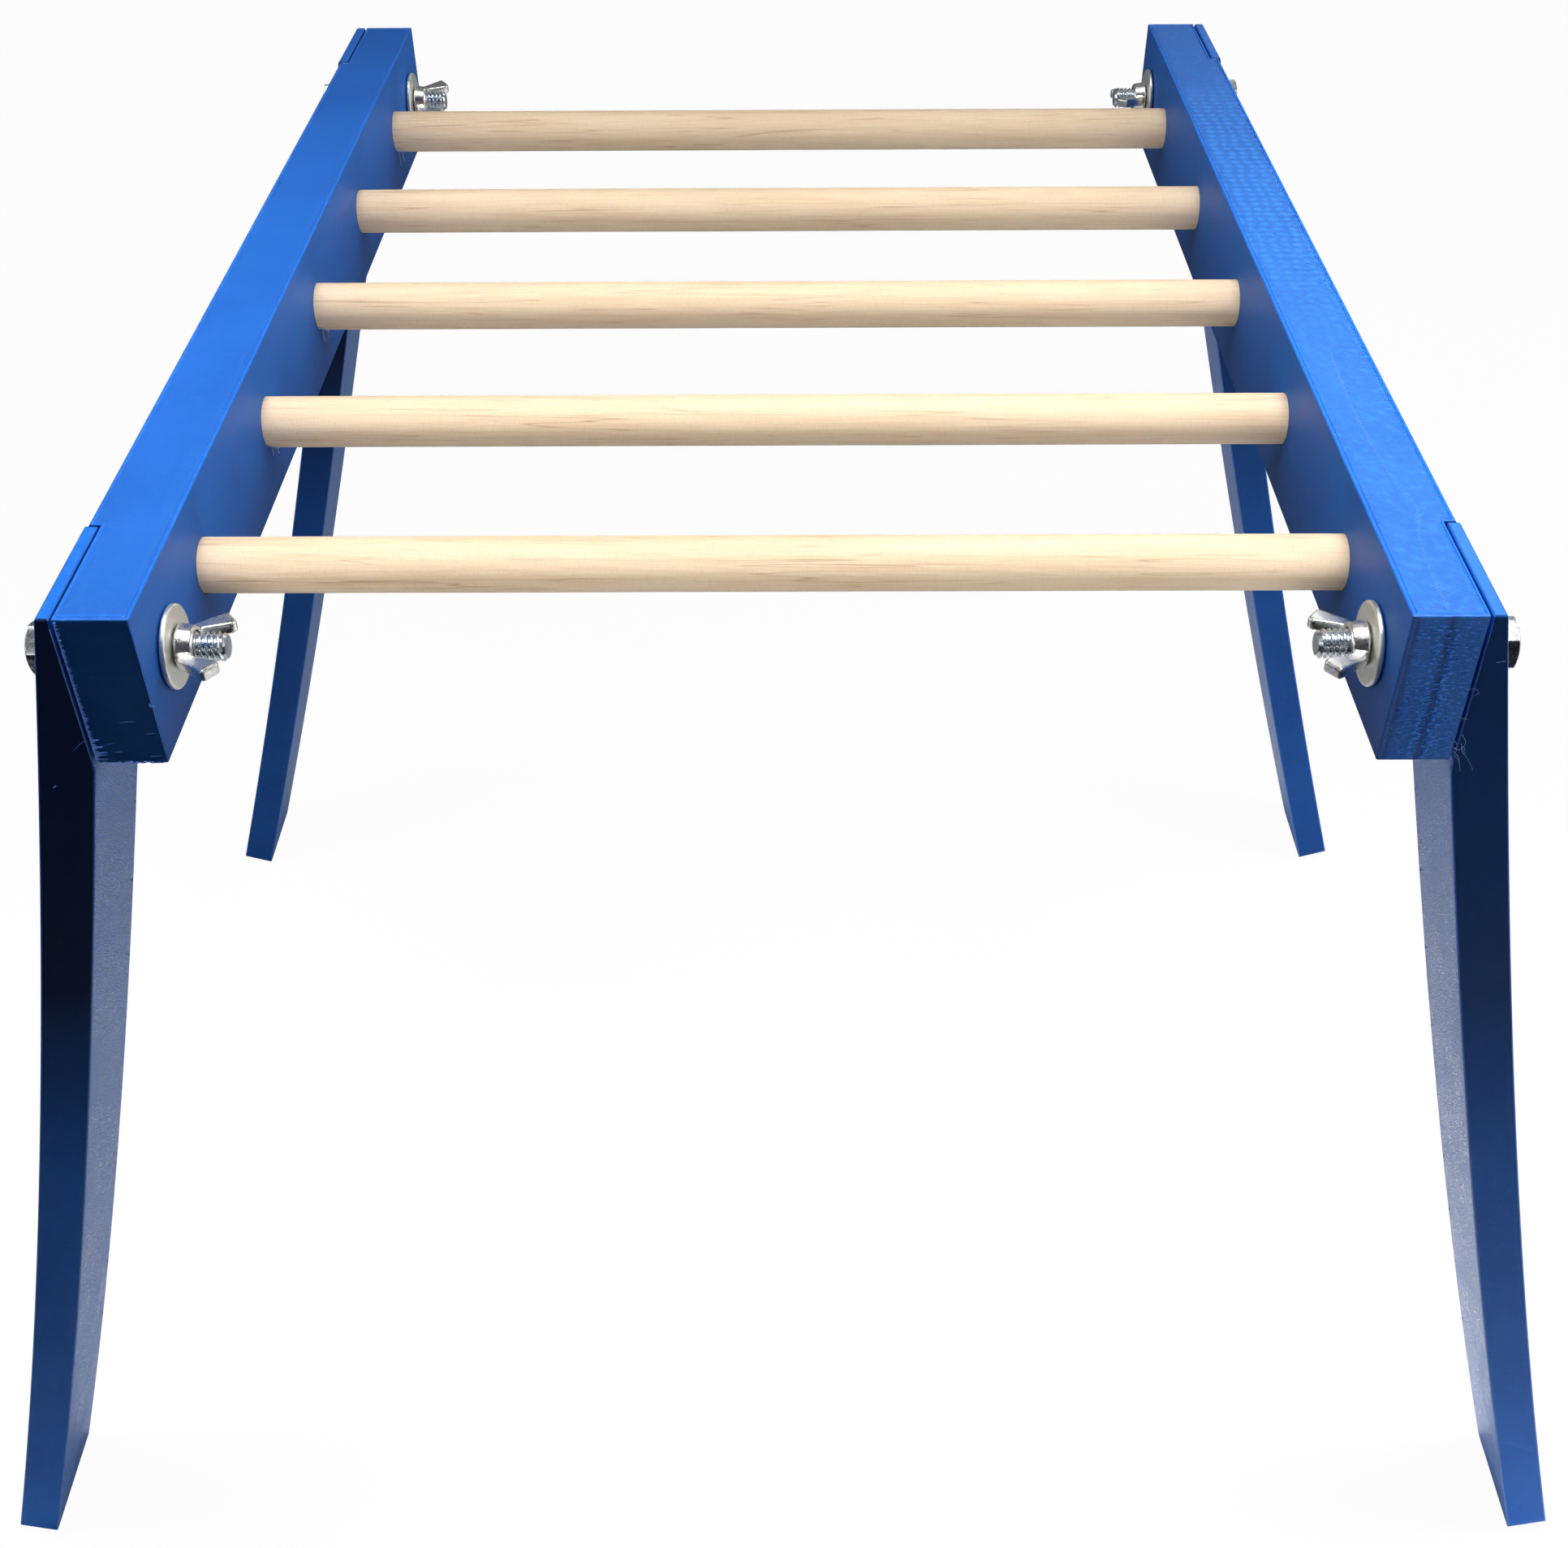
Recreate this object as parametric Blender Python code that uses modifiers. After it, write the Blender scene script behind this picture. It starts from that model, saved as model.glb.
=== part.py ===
"""Ladder toss frame: two printed rails, five dowel rungs and four bolted legs.

The ladder lies level on its legs. +X is to the right, +Y runs along the rails to the back, +Z is up.
The origin is on the floor, at the centre of the frame's footprint. All sizes are in metres.
"""

import math

import bmesh
import bpy
from mathutils import Matrix, Vector

# Driving dimensions of the frame
FRAME_HEIGHT = 0.361
RAIL_GAP = 0.255
RAIL_LENGTH = 0.355
RAIL_HEIGHT = 0.037
RAIL_THICKNESS = 0.0182
RAIL_EDGE = 0.0004
NOTCH_DEPTH = 0.0025
NOTCH_LENGTH = 0.0351

# Dowel rungs, half an inch thick
RUNG_COUNT = 5
RUNG_SPACING = 0.065
RUNG_RADIUS = 0.00635
RUNG_CHAMFER = 0.0006
SOCKET_DEPTH = 0.010

# Legs: flat bowed bars, each with a wedge at its top that fills the rail's notch
LEG_WIDTH = 0.0348
LEG_TOP_THICKNESS = 0.0029
LEG_THICKNESS = 0.0125
LEG_SPLAY = 0.2415
LEG_BOW = 0.110
LEG_EDGE = 0.0005
LEG_STEPS = 16

# Quarter-inch, 20 threads an inch hardware
BOLT_RADIUS = 0.003175
BOLT_LENGTH = 0.0374
BOLT_DEPTH = 0.0192
BOLT_END_CHAMFER = 0.0007
HEAD_FLATS = 0.0111
HEAD_HEIGHT = 0.0039
HEAD_CROWN = 0.0007
HEAD_TURN = math.radians(20)
HEAD_SEAT = 0.0253
HOLE_RADIUS = 0.0035
WASHER_RADIUS = 0.0092
WASHER_HOLE_RADIUS = 0.0040
WASHER_THICKNESS = 0.0012
WASHER_EDGE = 0.0003

# Wing nut
NUT_BORE_RADIUS = 0.0035
NUT_BASE_RADIUS = 0.0051
NUT_TOP_RADIUS = 0.0046
NUT_HEIGHT = 0.0039
NUT_EDGE = 0.0004
WING_SPAN = 0.0232
WING_REACH = 0.0104
WING_THICKNESS = 0.0028
WING_EDGE = 0.0004
# Where a wing leaves the nut, as shares of the nut's height from its base
WING_FOOT = 0.12
WING_SHOULDER = 0.40
WING_NECK = 0.88
WING_CROTCH = 0.95
# The shoulder's reach, as a share of half the span, and how far the wing's end corners are cut back
WING_SHOULDER_SPAN = 0.62
WING_CORNER = 0.0027
WING_END = 0.0034
WING_BACK = 0.0048
WING_LIP = 0.0007

GAP = 0.0003
ROUND_STEPS = 32
CUTTER_EXCESS = 0.002

RAIL_TOP = FRAME_HEIGHT
BOLT_HEIGHT = FRAME_HEIGHT - BOLT_DEPTH
RUNG_HEIGHT = FRAME_HEIGHT - RAIL_HEIGHT / 2
BOLT_INSET = LEG_WIDTH / 2
INNER_FACE = RAIL_GAP / 2
NOTCH_WALL = INNER_FACE + RAIL_THICKNESS - NOTCH_DEPTH

SIDES = {"left": -1, "right": 1}
ENDS = {"front": -1, "back": 1}
# How far each wing nut was left turned from level when it was tightened
NUT_TURNS = {
    "front_left": math.radians(-2),
    "front_right": math.radians(-1),
    "back_left": math.radians(11),
    "back_right": math.radians(-10),
}


def clear_scene():
    for obj in list(bpy.data.objects):
        bpy.data.objects.remove(obj, do_unlink=True)


def new_collection(name):
    collection = bpy.data.collections.new(name)
    bpy.context.scene.collection.children.link(collection)
    return collection


def new_material(name, colour, roughness, metallic=0.0):
    material = bpy.data.materials.new(name)
    material.use_nodes = True
    shader = material.node_tree.nodes["Principled BSDF"]
    shader.inputs["Base Color"].default_value = (*colour, 1.0)
    shader.inputs["Roughness"].default_value = roughness
    shader.inputs["Metallic"].default_value = metallic
    material.diffuse_color = (*colour, 1.0)
    return material


def finish_mesh(mesh, smooth_angle):
    mesh.shade_smooth()
    mesh.set_sharp_from_angle(angle=math.radians(smooth_angle))


def new_object(name, mesh, collection, material=None):
    obj = bpy.data.objects.new(name, mesh)
    collection.objects.link(obj)
    if material:
        obj.data.materials.append(material)
    return obj


def mesh_from_bmesh(name, bm):
    mesh = bpy.data.meshes.new(name)
    bm.to_mesh(mesh)
    bm.free()
    return mesh


def applied(obj):
    """The object with its modifiers turned into its mesh."""
    graph = bpy.context.evaluated_depsgraph_get()
    mesh = bpy.data.meshes.new_from_object(obj.evaluated_get(graph), depsgraph=graph)
    obj.modifiers.clear()
    obj.data = mesh
    return obj


def box_mesh(name, low, high):
    """A box between two corners."""
    bm = bmesh.new()
    bmesh.ops.create_cube(bm, size=1.0)
    size = Vector(high) - Vector(low)
    centre = (Vector(high) + Vector(low)) / 2
    bmesh.ops.transform(bm, matrix=Matrix.Translation(centre) @ Matrix.Diagonal((*size, 1.0)), verts=bm.verts)
    return mesh_from_bmesh(name, bm)


def rod_mesh(name, radius, start, end, steps=ROUND_STEPS, turn=0.0):
    """A straight round or many-sided bar along X, from start to end, about the X axis."""
    bm = bmesh.new()
    bmesh.ops.create_cone(
        bm, cap_ends=True, segments=steps, radius1=radius, radius2=radius, depth=abs(end - start)
    )
    along_x = Matrix.Rotation(math.pi / 2, 4, "Y")
    about_x = Matrix.Rotation(turn, 4, "X")
    middle = Matrix.Translation(((start + end) / 2, 0, 0))
    bmesh.ops.transform(bm, matrix=middle @ about_x @ along_x, verts=bm.verts)
    return mesh_from_bmesh(name, bm)


def turned_object(name, profile, collection, material=None, steps=ROUND_STEPS):
    """A turned shape about the X axis, from (x, radius) points that run from high x to low x on its outside."""
    bm = bmesh.new()
    corners = [bm.verts.new((x, 0.0, radius)) for x, radius in profile]
    for first, second in zip(corners, corners[1:]):
        bm.edges.new((first, second))
    if profile[0][1] > 0:
        bm.edges.new((corners[-1], corners[0]))
    obj = new_object(name, mesh_from_bmesh(name, bm), collection, material)
    screw = obj.modifiers.new("turn", "SCREW")
    screw.axis = "X"
    screw.steps = steps
    screw.render_steps = steps
    screw.use_merge_vertices = True
    screw.merge_threshold = 0.00001
    screw.use_normal_calculate = True
    return obj


def outline_object(name, points, half_width, collection, material=None):
    """A flat outline of (x, z) points, thickened along Y to both sides, as one closed mesh."""
    curve = bpy.data.curves.new(name, "CURVE")
    curve.dimensions = "2D"
    curve.fill_mode = "BOTH"
    curve.extrude = half_width
    spline = curve.splines.new("POLY")
    spline.points.add(len(points) - 1)
    for point, (x, z) in zip(spline.points, points):
        point.co = (x, z, 0.0, 1.0)
    spline.use_cyclic_u = True
    guide = new_object(name + "_outline", curve, collection)
    guide.rotation_euler = (math.pi / 2, 0.0, 0.0)
    bpy.context.view_layer.update()
    graph = bpy.context.evaluated_depsgraph_get()
    mesh = bpy.data.meshes.new_from_object(guide.evaluated_get(graph), depsgraph=graph)
    bm = bmesh.new()
    bm.from_mesh(mesh)
    bmesh.ops.remove_doubles(bm, verts=bm.verts, dist=0.000005)
    bmesh.ops.dissolve_limit(bm, angle_limit=math.radians(0.05), verts=bm.verts, edges=bm.edges)
    bmesh.ops.transform(bm, matrix=guide.matrix_world, verts=bm.verts)
    bmesh.ops.recalc_face_normals(bm, faces=bm.faces)
    bm.to_mesh(mesh)
    bm.free()
    bpy.data.objects.remove(guide, do_unlink=True)
    return new_object(name, mesh, collection, material)


def add_cutter(name, mesh, cutters):
    cutter = new_object(name, mesh, cutters)
    cutter.hide_render = True
    cutter.display_type = "WIRE"
    return cutter


def add_boolean(obj, other, operation="DIFFERENCE"):
    boolean = obj.modifiers.new(other.name, "BOOLEAN")
    boolean.operation = operation
    boolean.solver = "EXACT"
    boolean.object = other
    return boolean


def add_bevel(obj, width, angle=30, segments=1):
    bevel = obj.modifiers.new("edges", "BEVEL")
    bevel.width = width
    bevel.segments = segments
    bevel.limit_method = "ANGLE"
    bevel.angle_limit = math.radians(angle)
    bevel.use_clamp_overlap = True
    return bevel


def bolt_y(end):
    """Where the bolt at this end of a rail lies along Y."""
    return end * (RAIL_LENGTH / 2 - BOLT_INSET)


def rung_positions():
    return [(index - (RUNG_COUNT - 1) / 2) * RUNG_SPACING for index in range(RUNG_COUNT)]


def rail_cutters(side_name, side, cutters):
    """The notches, bolt holes and rung sockets of one rail."""
    outside = side * (INNER_FACE + RAIL_THICKNESS + CUTTER_EXCESS)
    inside = side * (INNER_FACE - CUTTER_EXCESS)
    notches = []
    holes = []
    for end_name, end in ENDS.items():
        edges_y = sorted((end * (RAIL_LENGTH / 2 + CUTTER_EXCESS), end * (RAIL_LENGTH / 2 - NOTCH_LENGTH)))
        edges_x = sorted((side * NOTCH_WALL, outside))
        low = (edges_x[0], edges_y[0], RAIL_TOP - RAIL_HEIGHT - CUTTER_EXCESS)
        high = (edges_x[1], edges_y[1], RAIL_TOP + CUTTER_EXCESS)
        name = f"{end_name}_{side_name}"
        notches.append(add_cutter("notch_" + name, box_mesh("notch_" + name, low, high), cutters))
        hole = add_cutter("rail_hole_" + name, rod_mesh("rail_hole", HOLE_RADIUS, inside, outside), cutters)
        hole.location = (0, bolt_y(end), BOLT_HEIGHT)
        holes.append(hole)
    for index, y in enumerate(rung_positions(), 1):
        bottom = side * (INNER_FACE + SOCKET_DEPTH)
        socket = rod_mesh("socket", RUNG_RADIUS + GAP, inside, bottom)
        cutter = add_cutter(f"socket_{index}_{side_name}", socket, cutters)
        cutter.location = (0, y, RUNG_HEIGHT)
        holes.append(cutter)
    return notches, holes


def make_rail(side_name, side, parts, cutters, material):
    edges_x = sorted((side * INNER_FACE, side * (INNER_FACE + RAIL_THICKNESS)))
    low = (edges_x[0], -RAIL_LENGTH / 2, RAIL_TOP - RAIL_HEIGHT)
    high = (edges_x[1], RAIL_LENGTH / 2, RAIL_TOP)
    name = "rail_" + side_name
    rail = new_object(name, box_mesh(name, low, high), parts, material)
    notches, holes = rail_cutters(side_name, side, cutters)
    for notch in notches:
        add_boolean(rail, notch)
    add_bevel(rail, RAIL_EDGE)
    for hole in holes:
        add_boolean(rail, hole)
    return rail


def make_rung(index, y, parts, material):
    half = INNER_FACE + SOCKET_DEPTH - GAP
    profile = [
        (half, 0.0),
        (half, RUNG_RADIUS - RUNG_CHAMFER),
        (half - RUNG_CHAMFER, RUNG_RADIUS),
        (-half + RUNG_CHAMFER, RUNG_RADIUS),
        (-half, RUNG_RADIUS - RUNG_CHAMFER),
        (-half, 0.0),
    ]
    rung = turned_object(f"rung_{index}", profile, parts, material)
    rung.location = (0, y, RUNG_HEIGHT)
    return rung


def leg_outer(depth):
    """How far the leg's outer face is from the middle of the frame, this far below the rail's top."""
    top = NOTCH_WALL + GAP + LEG_TOP_THICKNESS
    return top + LEG_SPLAY * depth + LEG_BOW * depth * depth


def leg_slope(depth):
    return LEG_SPLAY + 2 * LEG_BOW * depth


def leg_outline(side):
    """The leg's outline as (x, z) points. Its foot is cut square to the leg, so it stands on its inner edge."""
    slope = leg_slope(FRAME_HEIGHT)
    foot_rise = LEG_THICKNESS * slope / (1 + slope * slope)
    # Breaking the foot's lower edge takes a little off its depth, so the outline goes that much deeper
    foot_depth = FRAME_HEIGHT + LEG_EDGE * math.sin(math.atan(slope))
    inner_top = NOTCH_WALL + GAP
    # The depth at which the splayed inner face leaves the vertical face that lies in the notch
    bend = FRAME_HEIGHT / 2
    for _ in range(20):
        bend -= (leg_outer(bend) - LEG_THICKNESS - inner_top) / leg_slope(bend)
    outer = [(foot_depth - foot_rise) * step / LEG_STEPS for step in range(LEG_STEPS + 1)]
    inner = [bend + (foot_depth - bend) * step / LEG_STEPS for step in range(LEG_STEPS + 1)]
    points = [(leg_outer(depth), FRAME_HEIGHT - depth) for depth in outer]
    points += [(leg_outer(depth) - LEG_THICKNESS, FRAME_HEIGHT - depth) for depth in reversed(inner)]
    points.append((inner_top, FRAME_HEIGHT))
    return [(side * x, z) for x, z in points]


def make_leg(name, side, end, parts, cutters, material):
    leg = outline_object("leg_" + name, leg_outline(side), LEG_WIDTH / 2, parts, material)
    leg.location.y = bolt_y(end)
    add_bevel(leg, LEG_EDGE)
    far_side = side * (INNER_FACE + 2 * RAIL_THICKNESS)
    hole = add_cutter("leg_hole_" + name, rod_mesh("leg_hole", HOLE_RADIUS, side * INNER_FACE, far_side), cutters)
    hole.location = (0, bolt_y(end), BOLT_HEIGHT)
    add_boolean(leg, hole)
    return leg


def make_bolt(name, side, parts, cutters, material):
    """A hex bolt about the X axis: its head is outside the leg and its thread points to the frame's middle."""
    under_head = INNER_FACE + HEAD_SEAT
    end = under_head - BOLT_LENGTH
    head_end = under_head + HEAD_HEIGHT
    shank_profile = [
        (under_head + HEAD_HEIGHT / 2, 0.0),
        (under_head + HEAD_HEIGHT / 2, BOLT_RADIUS),
        (end + BOLT_END_CHAMFER, BOLT_RADIUS),
        (end, BOLT_RADIUS - BOLT_END_CHAMFER),
        (end, 0.0),
    ]
    corner = HEAD_FLATS / math.sqrt(3)
    crown_profile = [
        (head_end, 0.0),
        (head_end, HEAD_FLATS / 2 - HEAD_CROWN / 2),
        (head_end - HEAD_CROWN, corner + HEAD_CROWN),
        (under_head - CUTTER_EXCESS, corner + HEAD_CROWN),
        (under_head - CUTTER_EXCESS, 0.0),
    ]
    bolt = new_object(
        "bolt_" + name,
        rod_mesh("bolt_" + name, corner, under_head, head_end, steps=6, turn=HEAD_TURN),
        parts,
        material,
    )
    crown = turned_object("crown_" + name, crown_profile, cutters)
    shank = turned_object("shank_" + name, shank_profile, cutters)
    for helper, operation in ((crown, "INTERSECT"), (shank, "UNION")):
        add_boolean(bolt, helper, operation)
    applied(bolt)
    for helper in (crown, shank):
        bpy.data.objects.remove(helper, do_unlink=True)
    face_outwards(bolt, side)
    return bolt


def face_outwards(obj, side):
    """Turns a piece made for the right-hand rail to face the same way on this side's rail."""
    if side < 0:
        obj.data.transform(Matrix.Rotation(math.pi, 4, "Z"))


def make_washer(name, side, parts, material):
    inner_end = INNER_FACE - GAP - WASHER_THICKNESS
    outer_end = INNER_FACE - GAP
    profile = [
        (outer_end, WASHER_HOLE_RADIUS),
        (outer_end, WASHER_RADIUS - WASHER_EDGE),
        (outer_end - WASHER_EDGE, WASHER_RADIUS),
        (inner_end + WASHER_EDGE, WASHER_RADIUS),
        (inner_end, WASHER_RADIUS - WASHER_EDGE),
        (inner_end, WASHER_HOLE_RADIUS),
    ]
    washer = applied(turned_object("washer_" + name, profile, parts, material))
    face_outwards(washer, side)
    return washer


def wing_outline(base):
    """One wing's outline as (x, radius) points, from a nut whose base is at x = base."""
    half_span = WING_SPAN / 2
    tip = base - WING_REACH
    inside = NUT_BORE_RADIUS + WING_EDGE
    return [
        (base - NUT_HEIGHT * WING_FOOT, inside),
        (base - NUT_HEIGHT * WING_FOOT, NUT_BASE_RADIUS - WING_EDGE),
        (base - NUT_HEIGHT * WING_SHOULDER, half_span * WING_SHOULDER_SPAN),
        (tip + WING_CORNER, half_span),
        (tip, half_span - WING_END),
        (tip + WING_LIP, half_span - WING_BACK),
        (base - NUT_HEIGHT * WING_CROTCH, NUT_TOP_RADIUS + WING_EDGE),
        (base - NUT_HEIGHT * WING_NECK, inside),
    ]


def make_wing_nut(name, side, parts, cutters, material):
    """A wing nut about the X axis, with its base to the washer and its wings level."""
    base = INNER_FACE - 2 * GAP - WASHER_THICKNESS
    top = base - NUT_HEIGHT
    profile = [
        (base, NUT_BORE_RADIUS),
        (base, NUT_BASE_RADIUS - NUT_EDGE),
        (base - NUT_EDGE, NUT_BASE_RADIUS),
        (top + NUT_EDGE, NUT_TOP_RADIUS),
        (top, NUT_TOP_RADIUS - NUT_EDGE),
        (top, NUT_BORE_RADIUS),
    ]
    nut = turned_object("wing_nut_" + name, profile, parts, material)
    helpers = []
    for wing_index, wing_side in enumerate((-1, 1)):
        wing_name = f"wing_{wing_index}_{name}"
        wing = outline_object(wing_name, wing_outline(base), WING_THICKNESS / 2, cutters)
        wing.data.transform(Matrix.Rotation(-wing_side * math.pi / 2, 4, "X"))
        add_bevel(wing, WING_EDGE)
        add_boolean(nut, wing, "UNION")
        helpers.append(wing)
    applied(nut)
    for helper in helpers:
        bpy.data.objects.remove(helper, do_unlink=True)
    face_outwards(nut, side)
    return nut


def shade(obj, smooth_angle=35):
    if obj.type == "MESH":
        finish_mesh(obj.data, smooth_angle)


def make_corner(name, side, end, parts, cutters, plastic, zinc):
    """One leg with its bolt, washer and wing nut."""
    axis = bpy.data.objects.new("bolt_axis_" + name, None)
    axis.location = (0, bolt_y(end), BOLT_HEIGHT)
    axis.empty_display_size = 0.01
    parts.objects.link(axis)
    leg = make_leg(name, side, end, parts, cutters, plastic)
    bolt = make_bolt(name, side, parts, cutters, zinc)
    washer = make_washer(name, side, parts, zinc)
    nut = make_wing_nut(name, side, parts, cutters, zinc)
    for piece in (bolt, washer, nut):
        piece.parent = axis
    nut.rotation_euler.x = NUT_TURNS[name]
    bpy.context.view_layer.update()
    leg.parent = axis
    leg.matrix_parent_inverse = axis.matrix_world.inverted()
    return [leg, bolt, washer, nut]


def main():
    clear_scene()
    parts = new_collection("ladder_toss_frame")
    cutters = new_collection("cutters")
    plastic = new_material("blue_printed_plastic", (0.020, 0.110, 0.480), 0.38)
    wood = new_material("pale_dowel_wood", (0.780, 0.600, 0.400), 0.60)
    zinc = new_material("zinc_plated_steel", (0.720, 0.720, 0.700), 0.30, 1.0)
    pieces = [make_rail(side_name, side, parts, cutters, plastic) for side_name, side in SIDES.items()]
    pieces += [make_rung(index, y, parts, wood) for index, y in enumerate(rung_positions(), 1)]
    for side_name, side in SIDES.items():
        for end_name, end in ENDS.items():
            pieces += make_corner(f"{end_name}_{side_name}", side, end, parts, cutters, plastic, zinc)
    for piece in pieces:
        shade(piece)
    for cutter in cutters.objects:
        cutter.hide_set(True)


main()
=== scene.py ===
"""Ladder toss frame: detailed printed rails and legs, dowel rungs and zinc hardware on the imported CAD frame.

+X is to the right, +Y runs along the rails to the back, +Z is up. All sizes are in metres.
"""

import itertools
import math
import random

import bpy
import numpy as np
from mathutils import Matrix, Vector


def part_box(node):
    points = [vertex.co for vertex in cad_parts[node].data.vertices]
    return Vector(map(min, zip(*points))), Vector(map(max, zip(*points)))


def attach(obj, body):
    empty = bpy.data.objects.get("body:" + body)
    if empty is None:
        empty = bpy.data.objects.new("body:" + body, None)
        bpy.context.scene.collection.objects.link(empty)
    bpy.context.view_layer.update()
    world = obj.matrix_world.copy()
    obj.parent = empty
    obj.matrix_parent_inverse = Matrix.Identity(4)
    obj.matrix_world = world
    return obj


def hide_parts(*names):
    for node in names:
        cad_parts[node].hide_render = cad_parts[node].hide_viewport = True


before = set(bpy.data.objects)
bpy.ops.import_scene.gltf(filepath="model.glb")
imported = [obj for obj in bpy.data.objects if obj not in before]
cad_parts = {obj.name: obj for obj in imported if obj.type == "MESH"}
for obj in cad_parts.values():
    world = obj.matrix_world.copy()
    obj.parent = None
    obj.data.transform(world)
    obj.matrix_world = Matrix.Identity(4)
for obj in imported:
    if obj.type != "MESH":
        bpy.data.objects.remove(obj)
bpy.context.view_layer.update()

MM = 0.001
SIDES = {"left": -1, "right": 1}
ENDS = {"front": -1, "back": 1}

# What the CAD says
RAIL_LOW, RAIL_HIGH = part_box("rail_right")
RAIL_IN, RAIL_OUT = RAIL_LOW.x, RAIL_HIGH.x
RAIL_BOTTOM, RAIL_TOP = RAIL_LOW.z, RAIL_HIGH.z
RAIL_END = RAIL_HIGH.y
LEG_LOW, LEG_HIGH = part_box("leg_back_right")
LEG_WIDTH = LEG_HIGH.y - LEG_LOW.y
LEG_Y = (LEG_HIGH.y + LEG_LOW.y) / 2
BOLT_Z = sum(corner.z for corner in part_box("washer_back_right")) / 2
RUNGS = range(1, 6)
RUNG_BOXES = [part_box(f"rung_{index}") for index in RUNGS]
RUNG_RADIUS = (RUNG_BOXES[0][1].z - RUNG_BOXES[0][0].z) / 2

# The notch in each rail end, and the leg that fills it
NOTCH_DEPTH = 2.5 * MM
NOTCH_LENGTH = 34.95 * MM
NOTCH_WALL = RAIL_OUT - NOTCH_DEPTH
# Between a leg and the wall of its notch, and between a washer and its rail
GAP = 0.3 * MM
# How much further in the wall is cut, so that the seam is seen
SEAM_RELIEF = 0.35 * MM
LEG_TOP_THICKNESS = 2.9 * MM
LEG_THICKNESS = 12.5 * MM
# A leg's outer face leans out by SPLAY * depth + BOW * depth * depth, below the rail's top
LEG_SPLAY = 0.2415
LEG_BOW = 0.110
HOLE_RADIUS = 3.5 * MM
SOCKET_DEPTH = 10.0 * MM
SOCKET_CLEARANCE = 0.15 * MM
# How far a cutter reaches past what it cuts
EXCESS = 2 * MM

# Quarter-inch hardware, 20 threads an inch
PITCH = 1.27 * MM
BOLT_RADIUS = 3.175 * MM
THREAD_ROOT = 2.50 * MM
BOLT_TIP_CHAMFER = 0.7 * MM
BOLT_LENGTH = 37.4 * MM
THREAD_LENGTH = 27 * MM
SHANK_RADIUS = BOLT_RADIUS - 0.05 * MM
HEAD_SEAT = 25.3 * MM
HEAD_FLATS = 11.1 * MM
HEAD_HEIGHT = 3.9 * MM
HEAD_TURN = math.radians(20)
WASHER_RADIUS = 9.2 * MM
WASHER_HOLE = 3.7 * MM
WASHER_THICKNESS = 1.2 * MM

# Half the diagonal of the pattern that shows through the right-hand rail's top skin
DIAMOND = 3.4 * MM
# The spacing of the lines that a top skin is laid in
BEAD = 0.95 * MM
# The sunken upright bands on the right-hand rail's front end, as shares of its width from the inner side
END_BANDS = (0.055, 0.52)


# ---- meshes

HASH_PRIMES = (73856093, 19349663, 83492791)
HASH_SEED, HASH_MIX = 2654435761, 1274126177
NEAREST_LINES = 0.05 * MM
STRAND_SIDES = 6


def noise3(points, size, seed):
    """Smooth random values from -1 to 1 at each point, changing over about this size in millimetres."""
    scaled = np.asarray(points) / (np.asarray(size, float) * MM) + 0.37 * (seed + 1)
    cell = np.floor(scaled).astype(np.int64)
    part = scaled - cell
    part = part * part * (3 - 2 * part)
    total = np.zeros(len(scaled))
    for corner in itertools.product((0, 1), repeat=3):
        at = cell + np.array(corner)
        mixed = (seed + 7) * HASH_SEED
        for axis, prime in enumerate(HASH_PRIMES):
            mixed = mixed ^ at[:, axis] * prime
        mixed = (mixed ^ (mixed >> 13)) * HASH_MIX & 0x7FFFFFFF
        value = ((mixed >> 7) & 0xFFFF) / 32767.5 - 1
        weight = np.prod(np.where(corner, part, 1 - part), axis=1)
        total += weight * value
    return total


def bump(x, centre, width):
    """A smooth hill of height 1."""
    return np.exp(-(((x - centre) / width) ** 2))


def fade(x, start, end):
    """0 before start and 1 after end, smoothly."""
    t = np.clip((x - start) / (end - start), 0, 1)
    return t * t * (3 - 2 * t)


def smooth_to(mesh, sharp):
    """Smooth shading, with sharp edges where faces meet at more degrees than this."""
    mesh.shade_smooth()
    mesh.set_sharp_from_angle(angle=math.radians(sharp))


def new_mesh(name, points, faces, slots=None, sharp=35):
    mesh = bpy.data.meshes.new(name)
    mesh.from_pydata(np.asarray(points).tolist(), [], [list(face) for face in faces])
    if slots is not None:
        mesh.polygons.foreach_set("material_index", np.asarray(slots, np.int32))
    mesh.update()
    smooth_to(mesh, sharp)
    return mesh


def new_object(name, mesh, materials):
    obj = bpy.data.objects.new(name, mesh)
    bpy.context.scene.collection.objects.link(obj)
    for material in materials:
        obj.data.materials.append(material)
    return obj


def lattice(counts):
    """The points on the skin of a block of points, and its six sides' faces: -a, +a, -b, +b, -c, +c."""
    skin = np.zeros(counts, bool)
    for axis in range(3):
        ends = [slice(None)] * 3
        ends[axis] = [0, -1]
        skin[tuple(ends)] = True
    index = np.full(counts, -1)
    index[skin] = np.arange(skin.sum())

    def sheet(grid, flip):
        corners = [grid[:-1, :-1], grid[1:, :-1], grid[1:, 1:], grid[:-1, 1:]]
        quads = np.stack(corners, -1).reshape(-1, 4)
        return quads[:, ::-1] if flip else quads

    sides = [
        sheet(index[0], True), sheet(index[-1], False),
        sheet(index[:, 0], False), sheet(index[:, -1], True),
        sheet(index[:, :, 0], True), sheet(index[:, :, -1], False),
    ]
    return np.argwhere(skin), sides


def slot_lists(sides, slots):
    """A material slot for every face of each side."""
    return [np.full(len(faces), slot) for faces, slot in zip(sides, slots)]


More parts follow.
